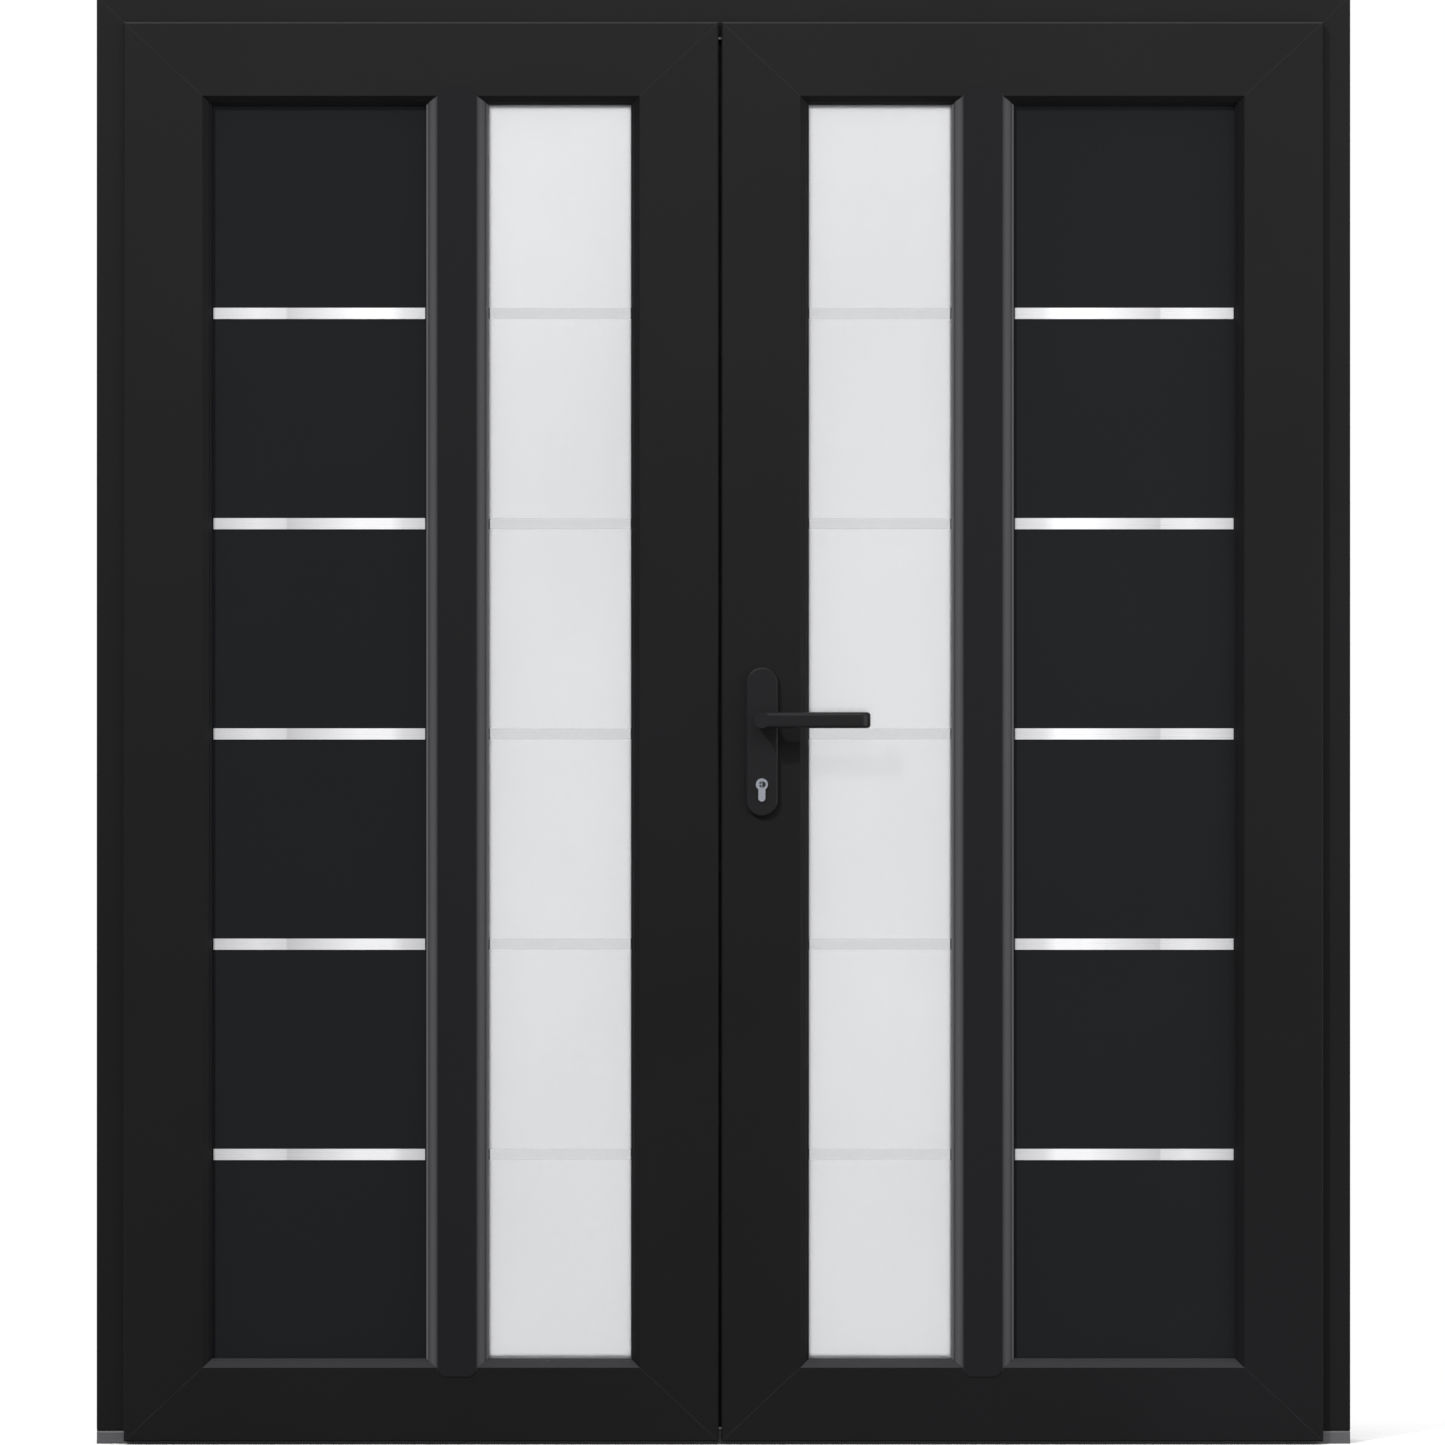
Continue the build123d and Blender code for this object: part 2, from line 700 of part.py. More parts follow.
    with BuildPart() as brush:
        box_between(
            (from_hinge(stile_width), from_meeting(stile_width)), (-brush_thickness / 2, brush_thickness / 2),
            (threshold_height + brush_clearance, body_bottom),
        )
    save(brush.part, f"{leaf}_bottom_brush")

    # Hinges: frame plates that carry the pins, and leaf plates that turn on them
    axis_x = from_hinge(hinge_axis_inset)
    axis_y = y_at(hinge_axis_depth)
    half_hinge = hinge_length / 2
    half_leaf_knuckle = leaf_knuckle_length / 2
    half_opening = half_leaf_knuckle + knuckle_gap

    with BuildPart() as frame_hinges:
        for height in hinge_heights:
            plate_z = (height - half_hinge, height + half_hinge)
            opening_z = (height - half_opening, height + half_opening)
            box_between(
                (from_hinge(knuckle_gap), from_hinge(lip_cover + hinge_plate)),
                (y_at(leaf_proud - hinge_plate), y_at(leaf_proud)), plate_z,
            )
            box_between(
                (from_hinge(lip_cover), from_hinge(lip_cover + hinge_plate)),
                (y_at(leaf_proud), y_at(leaf_proud + hinge_plate_reach)), plate_z,
            )
            rod_along_z(axis_x, axis_y, knuckle_radius, plate_z)
            box_between(
                (axis_x - knuckle_radius, axis_x + knuckle_radius),
                (axis_y, y_at(leaf_proud - hinge_plate)), plate_z,
            )
            box_between(
                (axis_x - knuckle_radius - knuckle_room, axis_x + knuckle_radius + knuckle_room),
                (axis_y - knuckle_radius - knuckle_room, y_at(leaf_proud)), opening_z, mode=Mode.SUBTRACT,
            )
            rod_along_z(axis_x, axis_y, pin_radius, opening_z)
    save(frame_hinges.part, f"{leaf}_hinge_frame_plates")

    with BuildPart() as leaf_hinges:
        plate_y = (y_at(hinge_notch_depth), y_at(hinge_notch_depth + hinge_plate))
        plate_inset = hinge_axis_inset + knuckle_radius
        for height in hinge_heights:
            plate_z = (height - half_hinge, height + half_hinge)
            knuckle_z = (height - half_leaf_knuckle, height + half_leaf_knuckle)
            box_between((from_hinge(plate_inset + plate_setback), from_hinge(body_inset)), plate_y, plate_z)
            box_between(
                (from_hinge(body_inset - hinge_plate), from_hinge(body_inset)),
                (plate_y[1], y_at(leaf_proud + hinge_plate_reach)), plate_z,
            )
            rod_along_z(axis_x, axis_y, knuckle_radius, knuckle_z)
            box_between(
                (axis_x, from_hinge(plate_inset + knuckle_room)),
                (axis_y - knuckle_radius, plate_y[1]), knuckle_z,
            )
            rod_along_z(axis_x, axis_y, pin_radius + running_clearance, plate_z, mode=Mode.SUBTRACT)
    save(leaf_hinges.part, f"{leaf}_hinge_leaf_plates")

    # Faceplate over the hardware groove
    with BuildPart() as faceplate:
        box_between(
            (from_meeting(0), from_meeting(faceplate_thickness)),
            (lock_y - groove_width / 2, lock_y + groove_width / 2), (body_bottom, body_top),
        )
        spare = bolt_clearance if side == 1 else strike_clearance
        for height, tall, thick in bolt_openings:
            box_between(
                (from_meeting(-over), from_meeting(faceplate_thickness + over)),
                (lock_y - thick / 2 - spare, lock_y + thick / 2 + spare),
                (height - tall / 2 - spare, height + tall / 2 + spare), mode=Mode.SUBTRACT,
            )
        if side == -1:
            # slots in which the flush bolts' thumb pieces travel
            for start, inward in ((body_top - thumb_height, -1), (body_bottom + thumb_height, 1)):
                slot_z = (
                    start - inward * (thumb_length + slot_spare),
                    start + inward * (thumb_travel + slot_spare),
                )
                box_between(
                    (from_meeting(-over), from_meeting(faceplate_thickness + over)),
                    (lock_y - thumb_width / 2 - rod_gap, lock_y + thumb_width / 2 + rod_gap), slot_z,
                    mode=Mode.SUBTRACT,
                )
    save(faceplate.part, f"{leaf}_faceplate")

# Flush bolts: each is a flat rod with a round point and a thumb piece in the faceplate
rod_x = (meeting_line - meeting_gap / 2 - faceplate_thickness - rod_gap,
         meeting_line - meeting_gap / 2 - faceplate_thickness - rod_gap - rod_thickness)

for name, tip, inward, thumb_at in (
    ("head_flush_bolt", rebate_top + head_bolt_entry, -1, body_top - thumb_height),
    ("threshold_flush_bolt", threshold_height - sill_bolt_entry, 1, body_bottom + thumb_height),
):
    with BuildPart() as flush_bolt:
        shoulder = tip + inward * rod_point_length
        bar_z = (shoulder, shoulder + inward * rod_length)
        box_between(rod_x, (rod_y - rod_width / 2, rod_y + rod_width / 2), bar_z)
        rod_along_z(keeper_x, rod_y, rod_point_radius, (tip, shoulder + inward * over))
        thumb_z = (thumb_at, thumb_at - inward * thumb_length)
        box_between(
            (rod_x[0], rod_x[0] + faceplate_thickness),
            (rod_y - thumb_width / 2, rod_y + thumb_width / 2), thumb_z,
        )
    save(flush_bolt.part, name)

# Lock of the right leaf
case_x = (lock_edge + faceplate_thickness, lock_edge + case_depth)
case_y = (lock_y - case_thickness / 2, lock_y + case_thickness / 2)
cam_y = (lock_y - cam_width / 2, lock_y + cam_width / 2)
cam_room = (cam_y[0] - cam_clearance, cam_y[1] + cam_clearance)
bolts = (
    ("latch_bolt", *bolt_openings[0], -latch_throw, latch_length),
    ("deadbolt", *bolt_openings[1], deadbolt_setback, deadbolt_length),
)

with BuildPart() as lock_case:
    box_between(case_x, case_y, case_z)
    for name, height, tall, thick, nose, length in bolts:
        inner_end = nose + length + (latch_throw if nose < 0 else 0) + strike_clearance
        box_between(
            (case_x[0] - over, lock_edge + inner_end),
            (lock_y - thick / 2 - bolt_clearance, lock_y + thick / 2 + bolt_clearance),
            (height - tall / 2 - bolt_clearance, height + tall / 2 + bolt_clearance), mode=Mode.SUBTRACT,
        )
    rod_along_y(spindle_x, lever_height, follower_radius + running_clearance, case_y, mode=Mode.SUBTRACT)
    rod_along_y(spindle_x, cylinder_z, cam_reach + cam_clearance, cam_room, mode=Mode.SUBTRACT)
    cylinder_body(case_y, cylinder_fit, mode=Mode.SUBTRACT)
save(lock_case.part, "lock_case")

for name, height, tall, thick, nose, length in bolts:
    with BuildPart() as bolt:
        box_between(
            (lock_edge + nose, lock_edge + nose + length),
            (lock_y - thick / 2, lock_y + thick / 2), (height - tall / 2, height + tall / 2),
        )
        if nose < 0:
            # the slope that rides over the strike as the leaf shuts
            tip = bolt.faces().sort_by(Axis.X)[0]
            chamfer(tip.edges().filter_by(Axis.Z).sort_by(Axis.Y)[-1], latch_slope, latch_slope)
    save(bolt.part, name)

with BuildPart() as follower:
    rod_along_y(
        spindle_x, lever_height, follower_radius,
        (lock_y - follower_thickness / 2, lock_y + follower_thickness / 2),
    )
    box_between(
        (spindle_x - spindle_size / 2, spindle_x + spindle_size / 2), case_y,
        (lever_height - spindle_size / 2, lever_height + spindle_size / 2), mode=Mode.SUBTRACT,
    )
save(follower.part, "lock_follower")

with BuildPart() as spindle:
    box_between(
        (spindle_x - spindle_size / 2, spindle_x + spindle_size / 2),
        (y_at(-plate_thickness - spindle_seat), y_at(leaf_depth + plate_thickness + spindle_seat)),
        (lever_height - spindle_size / 2, lever_height + spindle_size / 2),
    )
save(spindle.part, "spindle")

plate_stand = plate_thickness + cylinder_stand
cylinder_y = (y_at(-plate_stand), y_at(leaf_depth + plate_stand))

with BuildPart() as cylinder:
    cylinder_body(cylinder_y)
    rod_along_y(spindle_x, cylinder_z, plug_radius + running_clearance, cylinder_y, mode=Mode.SUBTRACT)
    # room for the cam and its finger all the way round
    box_between(
        (spindle_x - 2 * cylinder_radius, spindle_x + 2 * cylinder_radius), cam_room,
        (cylinder_z - cam_reach - cam_clearance, cylinder_z + 2 * cylinder_radius), mode=Mode.SUBTRACT,
    )
save(cylinder.part, "lock_cylinder")

with BuildPart() as plug:
    rod_along_y(spindle_x, cylinder_z, plug_radius, (cylinder_y[0], cam_y[0]))
    box_between(
        (spindle_x - keyway_width / 2, spindle_x + keyway_width / 2),
        (cylinder_y[0] - over, cylinder_y[0] + keyway_depth),
        (cylinder_z - keyway_height / 2, cylinder_z + keyway_height / 2), mode=Mode.SUBTRACT,
    )
save(plug.part, "key_plug")

with BuildPart() as cam:
    rod_along_y(spindle_x, cylinder_z, cam_radius, cam_y)
    box_between(
        (spindle_x - cam_finger / 2, spindle_x + cam_finger / 2), cam_y,
        (cylinder_z, cylinder_z + cam_reach - cam_finger_short),
    )
save(cam.part, "lock_cam")

with BuildPart() as thumb_turn:
    wing_y = cylinder_y[1] + turn_gap
    rod_along_y(spindle_x, cylinder_z, plug_radius, (cam_y[1], wing_y))
    with BuildSketch(Plane.XZ.offset(-wing_y)):
        with Locations((spindle_x, cylinder_z)):
            SlotOverall(turn_width, turn_thickness, rotation=90)
    extrude(amount=-turn_length)
    chamfer(thumb_turn.faces().sort_by(Axis.Y)[-1].edges(), turn_edge)
save(thumb_turn.part, "thumb_turn")

# Escutcheons and levers, outside and inside
for name, face, out in (("outside", y_at(0), -1), ("inside", y_at(leaf_depth), 1)):
    plate_y = tuple(sorted((face, face + out * plate_thickness)))
    with BuildPart() as escutcheon:
        with BuildSketch(Plane.XZ.offset(-plate_y[1])):
            with Locations((spindle_x, lever_height - plate_centre_drop)):
                SlotOverall(plate_length, plate_width, rotation=90)
        extrude(amount=plate_thickness)
        outer_face = escutcheon.faces().sort_by(Axis.Y)[0 if out < 0 else -1]
        chamfer(outer_face.edges(), plate_rounding)
        rod_along_y(
            spindle_x, lever_height, lever_neck_radius + running_clearance, plate_y, mode=Mode.SUBTRACT,
        )
        cylinder_body(plate_y, cylinder_fit, mode=Mode.SUBTRACT)
    save(escutcheon.part, f"{name}_escutcheon")

    bar_y = face + out * (lever_standoff + lever_bar_depth / 2)
    elbow_x = spindle_x + lever_reach - lever_bar_depth / 2
    with BuildPart() as lever:
        rod_along_y(spindle_x, lever_height, lever_neck_radius, (face + out * neck_gap, bar_y))
        with BuildLine() as path:
            FilletPolyline(
                (spindle_x, bar_y, lever_height), (elbow_x, bar_y, lever_height),
                (elbow_x, bar_y - out * lever_return, lever_height), radius=lever_elbow,
            )
        with BuildSketch(Plane(origin=(spindle_x, bar_y, lever_height), x_dir=(0, 1, 0), z_dir=(1, 0, 0))):
            RectangleRounded(lever_bar_depth, lever_bar_height, lever_edge)
        sweep(path=path.line)
        rod_along_y(
            spindle_x, lever_height, lever_bar_height / 2,
            (bar_y - lever_bar_depth / 2, bar_y + lever_bar_depth / 2),
        )
        box_between(
            (spindle_x - spindle_size / 2, spindle_x + spindle_size / 2),
            (face, face + out * (plate_thickness + spindle_seat)),
            (lever_height - spindle_size / 2, lever_height + spindle_size / 2), mode=Mode.SUBTRACT,
        )
    save(lever.part, f"{name}_lever")
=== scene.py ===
# %% [markdown]
# The object is a double entry door in its own frame: two leaves of mitred
# hollow profile, each with a dark panel crossed by steel strips and a tall
# pane of frosted glass, a mullion between the two, and a lever lock on the
# right leaf. The solid parts come from the CAD model and stay where they are.
# This script gives every one of them its finish and adds what is too small or
# too soft for the CAD model: screws, caps, seals, bristles and fine joints.

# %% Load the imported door
import json
import math

import bmesh
import bpy
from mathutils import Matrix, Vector


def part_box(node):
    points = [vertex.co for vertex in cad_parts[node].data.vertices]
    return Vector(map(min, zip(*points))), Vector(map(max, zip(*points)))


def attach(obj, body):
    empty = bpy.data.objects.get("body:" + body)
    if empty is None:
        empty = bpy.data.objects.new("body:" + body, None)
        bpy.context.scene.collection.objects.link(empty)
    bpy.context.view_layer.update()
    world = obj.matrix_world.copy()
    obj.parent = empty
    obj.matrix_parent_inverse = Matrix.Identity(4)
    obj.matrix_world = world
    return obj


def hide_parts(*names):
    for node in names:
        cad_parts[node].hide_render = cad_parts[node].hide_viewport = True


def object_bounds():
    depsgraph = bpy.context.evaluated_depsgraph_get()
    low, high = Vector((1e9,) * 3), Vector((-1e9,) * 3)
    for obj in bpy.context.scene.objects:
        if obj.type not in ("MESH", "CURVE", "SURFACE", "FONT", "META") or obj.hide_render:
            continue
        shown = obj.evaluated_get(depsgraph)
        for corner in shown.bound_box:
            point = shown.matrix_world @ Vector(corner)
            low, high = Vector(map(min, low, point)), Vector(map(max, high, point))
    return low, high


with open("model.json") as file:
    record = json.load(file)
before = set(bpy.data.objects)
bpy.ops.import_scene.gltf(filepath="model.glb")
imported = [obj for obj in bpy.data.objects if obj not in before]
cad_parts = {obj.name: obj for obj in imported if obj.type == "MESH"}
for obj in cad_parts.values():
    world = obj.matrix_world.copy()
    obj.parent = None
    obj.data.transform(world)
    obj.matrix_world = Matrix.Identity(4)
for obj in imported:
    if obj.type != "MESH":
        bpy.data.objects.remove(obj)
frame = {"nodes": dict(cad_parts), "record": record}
cad_low, cad_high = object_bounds()
print("CAD box in metres:", [round(x, 4) for x in cad_low], [round(x, 4) for x in cad_high])

# %% [markdown]
# Blender works in metres here, and small fittings are easier to think of in
# millimetres, so one factor turns one into the other. Every place below is
# read from the boxes of the CAD nodes, so that a piece lands on the part that
# carries it even after the door has been made wider or taller.

# %% Read the main planes from the CAD nodes
MM = 0.001
LEAVES = ("left", "right")

leaf_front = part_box("left_top_rail")[0].y
frame_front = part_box("frame_head")[0].y
door_height = cad_high.z


def outer_edge(leaf):
    """World X of a leaf's hinge edge."""
    low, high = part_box(f"{leaf}_hinge_stile")
    return low.x if leaf == "left" else high.x


def meeting_edge(leaf):
    """World X of the edge where a leaf meets the other one."""
    low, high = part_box(f"{leaf}_meeting_stile")
    return high.x if leaf == "left" else low.x


def towards_meeting(leaf):
    """Direction on X from a leaf's hinges to its meeting edge."""
    return 1 if leaf == "left" else -1


for leaf in LEAVES:
    print(leaf, "leaf from", round(outer_edge(leaf), 4), "to", round(meeting_edge(leaf), 4))

# %% [markdown]
# A material is a small network of nodes. Writing it as sums in Python keeps it
# short: the class below wraps one socket of that network, and a plus or a
# times sign between two of them adds the Math node that does it. Colours and
# vectors don't go through Math nodes, which would turn them grey, so they have
# mix() and scaled(). Every other node comes from one method, node(), which
# makes its settings first and its sockets after.


# %% A socket that Python can calculate with
class Socket:
    """One output in a node tree. Python's operators on it add Math nodes."""

    def __init__(self, tree, output=None):
        self.tree = tree
        self.output = output

    def node(self, kind, settings=None, inputs=None, output=0):
        """Add a node, set it up, fill its sockets and wrap one of its outputs."""
        made = self.tree.nodes.new(kind)
        for key, value in (settings or {}).items():
            if key == "stops":
                for n, (place, colour) in enumerate(value):
                    stop = made.color_ramp.elements[n] if n < 2 else made.color_ramp.elements.new(place)
                    stop.position = place
                    stop.color = colour
            else:
                setattr(made, key, value)
        for key, value in (inputs or {}).items():
            if isinstance(value, Socket):
                self.tree.links.new(value.output, made.inputs[key])
            else:
                made.inputs[key].default_value = value
        return Socket(self.tree, made.outputs[output])

    def math(self, operation, *terms):
        """A Math node on this value and the terms."""
        return self.node("ShaderNodeMath", {"operation": operation}, dict(enumerate((self, *terms))))

    def __add__(self, other):
        return self.math("ADD", other)

    __radd__ = __add__

    def __sub__(self, other):
        return self.math("SUBTRACT", other)

    def __rsub__(self, other):
        return self.math("MULTIPLY_ADD", -1, other)

    def __mul__(self, other):
        return self.math("MULTIPLY", other)

    __rmul__ = __mul__

    def __gt__(self, other):
        return self.math("GREATER_THAN", other)

    def __lt__(self, other):
        return self.math("LESS_THAN", other)

    def mix(self, none, full):
        """Colour that goes from none to full as this value goes from 0 to 1."""
        return self.node("ShaderNodeMix", {"data_type": "RGBA"}, {0: self, 6: none, 7: full}, output=2)

    def scaled(self, factors):
        """This vector with each of its axes multiplied by a number."""
        return self.node("ShaderNodeVectorMath", {"operation": "MULTIPLY"}, {0: self, 1: factors})

    def axis(self, name):
        """One axis of this vector as a value."""
        return self.node("ShaderNodeSeparateXYZ", None, {0: self}, output="XYZ".index(name))

    def between(self, low, high):
        """This value stretched so that low becomes 0 and high becomes 1, and clamped."""
        return self.node("ShaderNodeMapRange", None, {"Value": self, "From Min": low, "From Max": high})


print("socket class ready")

# %% [markdown]
# Colours are noted as they look on a screen, from 0 to 255, because that is
# how one reads them from a picture. The renderer wants linear light, so one
# function turns the first into the second. A second helper starts a material:
# it takes the numbers that are the same all over the surface and returns the
# tree's root, from which the changing parts are written.


# %% Start a material
def screen_colour(red, green, blue):
    """A colour as it looks on a screen, as linear light with full alpha."""
    def linear(level):
        part = level / 255
        return part / 12.92 if part <= 0.04045 else ((part + 0.055) / 1.055) ** 2.4
    return (linear(red), linear(green), linear(blue), 1)


class Finish:
    """A material with its Principled shader, and the place on the surface as a vector."""

    def __init__(self, name, constants):
        self.material = bpy.data.materials.new(name)
        self.material.use_nodes = True
        self.tree = self.material.node_tree
        self.shader = self.tree.nodes["Principled BSDF"]
        for socket, value in constants.items():
            self.shader.inputs[socket].default_value = value
        self.root = Socket(self.tree)
        self.place = self.root.node("ShaderNodeTexCoord", output="Object")

    def noise(self, scale, detail=2, stretch=(1, 1, 1), roughness=0.5):
        """Soft random values, with so many cells to the metre on each axis."""
        return self.root.node(
            "ShaderNodeTexNoise", None,
            {"Vector": self.place.scaled(stretch), "Scale": scale, "Detail": detail, "Roughness": roughness},
        )

    def feed(self, **values):
        """Link changing values to the shader; an underscore stands for a space."""
        for name, value in values.items():
            self.tree.links.new(value.output, self.shader.inputs[name.replace("_", " ")])

    def relief(self, height, distance):
        """Bump from a height between 0 and 1 that stands for so many metres."""
        self.feed(Normal=self.root.node("ShaderNodeBump", None, {"Height": height, "Distance": distance}))


print("the profile's grey is", [round(x, 4) for x in screen_colour(38, 38, 40)[:3]], "in linear light")

# %% [markdown]
# Powder coat is plastic powder melted onto the metal. It is satin and not
# quite flat: seen close it has the dimples of an orange's skin, about a
# millimetre across. Its colour hardly changes, but a long profile is never
# perfectly even, so a slow cloud of noise moves colour and roughness a little.
# Its gloss is low, so that a pale room doesn't wash the dark colour out. The
# panels are duller than the profiles round them. Slopes that look up, such as
# the moulding under a panel, get a lighter colour that is painted light from above.


# %% Powder coat for profiles, panels, hinges and handles
def powder_coat(name, dark, light, roughness, gloss, grain=900, depth=0.03 * MM, painted_top_light=None):
    """Satin powder coat between two shades, with painted light from above on upward slopes."""
    finish = Finish(name, {"Specular IOR Level": gloss})
    clouds = finish.noise(2.2, detail=3)
    peel = finish.noise(grain, detail=2)
    specks = finish.noise(grain * 4, detail=0)
    colour = (clouds * 0.8 + specks * 0.2).between(0.3, 0.7).mix(dark, light)
    # Painted light: faces that look up get a lighter colour, as if lit from above.
    if painted_top_light:
        upward = finish.root.node("ShaderNodeTexCoord", output="Normal").axis("Z")
        colour = (upward.between(0.15, 0.6) * (clouds * 0.3 + 0.85)).mix(colour, painted_top_light)
    finish.feed(Base_Color=colour, Roughness=clouds * 0.08 + peel * 0.05 + (roughness - 0.065))
    finish.relief(peel + specks * 0.25, depth)
    return finish.material


profile_coat = powder_coat(
    "anthracite_profile", screen_colour(15, 15, 16), screen_colour(19, 19, 21), roughness=0.5, gloss=0.15,
    painted_top_light=screen_colour(44, 44, 46))
panel_coat = powder_coat(
    "anthracite_panel", screen_colour(25, 26, 28), screen_colour(27, 28, 30), roughness=0.62, gloss=0.06,
    grain=1400, depth=0.015 * MM)
handle_coat = powder_coat(
    "anthracite_handle", screen_colour(22, 22, 23), screen_colour(27, 27, 29), roughness=0.36, gloss=0.2,
    grain=1800, depth=0.01 * MM)
hinge_coat = powder_coat(
    "dark_hinge", screen_colour(22, 22, 23), screen_colour(28, 28, 29), roughness=0.4, gloss=0.2)
print("powder coats:", profile_coat.name, panel_coat.name, handle_coat.name, hinge_coat.name)

# %% [markdown]
# The mullion is a profile of its own, and its two slopes are drawn lighter than
# its flat face: a painted highlight runs down each slope, a thin painted
# highlight down the small rounded foot at its outer edge, and a painted dark
# line where the slope meets the foot. These bands stand for the light and shade
# that the slopes catch. The slopes are also rubbed a little smoother. How far a
# point is from the mullion's middle line tells where on the section it lies, so
# one colour ramp over that distance paints the whole section, the same on both sides.

# %% The mullion's coat with painted light and shade
MULLION_FLAT = 26.5 * MM
MULLION_HALF = 44.5 * MM


def grey(level):
    """A neutral screen colour, a touch cooler than grey."""
    return screen_colour(level, level, level + 2)


def mullion_coat(leaf):
    """Dull flat face, painted highlights on the slopes and the foot, by distance from the middle line."""
    finish = Finish(f"{leaf}_mullion_coat", {"Specular IOR Level": 0.12})
    low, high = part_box(f"{leaf}_mullion")
    aside = (finish.place.axis("X") - (low.x + high.x) / 2).math("ABSOLUTE")
    across = aside.between(MULLION_FLAT, MULLION_HALF)
    # Painted light and shade: the bright stops are highlights, the dark stop at 0.82 a shade line.
    section = across.node("ShaderNodeValToRGB", {"stops": [
        (0.0, grey(22)), (0.06, grey(34)), (0.2, grey(68)), (0.42, grey(80)), (0.62, grey(76)),
        (0.76, grey(66)), (0.82, grey(50)), (0.88, grey(98)), (1.0, grey(88)),
    ]}, {0: across})
    peel = finish.noise(900, detail=2)
    clouds = finish.noise(3, detail=2)
    finish.feed(
        Base_Color=(clouds * 0.16).mix(section, grey(30)),
        Roughness=0.6 - across * 0.14 + peel * 0.05,
    )
    finish.relief(peel, 0.02 * MM)
    return finish.material


mullion_coats = {leaf: mullion_coat(leaf) for leaf in LEAVES}
print("mullion coats:", [made.name for made in mullion_coats.values()])

# %% [markdown]
# The strips on the panels are thin stainless steel, brushed along their
# length. A brush leaves scratches that are long one way and very fine the
# other, so the noise is squeezed: few cells along X and thousands along Z. The
# scratches change colour, roughness and relief together, as real ones do.
# The bright length of each strip and the duller ones beside it, the same in
# every strip and mirrored from leaf to leaf, are a painted reflection of the
# light on a sheet that is never quite flat: a ramp over the distance from the
# door's middle draws them into the colour.


# %% Brushed metal
def scratched(finish, along=(6, 2400, 2400)):
    """Fine scratches along one axis, as values round a half."""
    return finish.noise(1, detail=4, stretch=along, roughness=0.7).between(0.3, 0.7)


def steel_for_strips(name):
    """Brushed steel with soft bright lengths of painted reflection."""
    finish = Finish(name, {"Metallic": 0.3, "Specular IOR Level": 0.3})
    low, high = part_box("right_panel_strips")
    along = finish.place.axis("X").math("ABSOLUTE").between(low.x, high.x)
    # Painted reflection: bright and duller lengths drawn into the colour along the strip.
    painted_reflection = along.node("ShaderNodeValToRGB", {"stops": [
        (0.0, grey(206)), (0.13, grey(226)), (0.19, grey(253)), (0.34, grey(253)), (0.45, grey(236)),
        (0.66, grey(202)), (0.67, grey(222)), (0.8, grey(234)), (1.0, grey(206)),
    ]}, {0: along})
    scratches = scratched(finish)
    finish.feed(
        Base_Color=(scratches * 0.1).mix(painted_reflection, grey(170)),
        Roughness=scratches * 0.14 + 0.24,
    )
    finish.relief(scratches, 0.01 * MM)
    return finish.material


def anodised_aluminium(name):
    """Dull grey anodised metal with drawing lines along X."""
    finish = Finish(name, {"Metallic": 1.0})
    scratches = scratched(finish)
    stains = finish.noise(9, detail=4)
    finish.feed(
        Base_Color=(scratches * 0.6 + stains * 0.4).mix(grey(104), grey(136)),
        Roughness=scratches * 0.14 + stains * 0.1 + 0.38,
    )
    finish.relief(scratches, 0.015 * MM)
    return finish.material


strip_steel = steel_for_strips("brushed_strip")
anodised = anodised_aluminium("anodised_threshold")
print("brushed metals:", strip_steel.name, anodised.name)

# %% [markdown]
# Lock parts are plain steel under a thin coat of zinc. Zinc grows in patches
# of slightly different grey, which Voronoi cells copy well. The cylinder is
# nickel on brass: brighter, smoother and a little blue next to the black
# handle, and its patches are so small that they read as a fine grain.


# %% Zinc, nickel and the spacer's raw aluminium
def plated_metal(name, dark, light, roughness, patches):
    """Plated metal with patches of slightly different shade."""
    finish = Finish(name, {"Metallic": 1.0})
    cells = finish.root.node(
        "ShaderNodeTexVoronoi", {"feature": "SMOOTH_F1"}, {"Vector": finish.place, "Scale": patches})
    grain = finish.noise(patches * 5, detail=3)
    finish.feed(
        Base_Color=(cells * 0.5 + grain * 0.5).between(0.2, 0.75).mix(dark, light),
        Roughness=grain * 0.14 + (roughness - 0.07),
    )
    finish.relief(grain, 0.01 * MM)
    return finish.material


zinc = plated_metal(
    "zinc_steel", screen_colour(168, 169, 170), screen_colour(206, 207, 208), roughness=0.36, patches=260)
nickel = plated_metal(
    "satin_nickel", screen_colour(204, 211, 222), screen_colour(236, 241, 248), roughness=0.3, patches=700)
spacer_metal = plated_metal("spacer", grey(150), grey(170), roughness=0.5, patches=400)
print("plated metals:", zinc.name, nickel.name, spacer_metal.name)

# %% [markdown]
# The seals are rubber: nearly black, dull, with a fine bloom that is a little
# lighter. The bristles of the brush are dark nylon pile, which shows as thin
# uneven streaks that all run down.


# %% Rubber and nylon pile
def rubber(name):
    """Dull black rubber with a faint grey bloom."""
    finish = Finish(name, {"Specular IOR Level": 0.3})
    bloom = finish.noise(40, detail=4)
    pores = finish.noise(2500, detail=1)
    finish.feed(
        Base_Color=bloom.between(0.35, 0.8).mix(screen_colour(26, 26, 26), screen_colour(50, 50, 51)),
        Roughness=bloom * 0.2 + 0.55,
    )
    finish.relief(pores, 0.02 * MM)
    return finish.material


def nylon_pile(name):
    """Dark bristles, each a slightly different shade."""
    finish = Finish(name, {"Sheen Weight": 0.2, "Specular IOR Level": 0.4})
    strands = finish.noise(1, detail=2, stretch=(1500, 1500, 60))
    finish.feed(
        Base_Color=strands.mix(screen_colour(16, 16, 17), screen_colour(58, 58, 60)),
        Roughness=strands * 0.3 + 0.4,
    )
    finish.relief(strands, 0.05 * MM)
    return finish.material


seal_rubber = rubber("seal_rubber")
brush_pile = nylon_pile("brush_pile")
print("soft finishes:", seal_rubber.name, brush_pile.name)

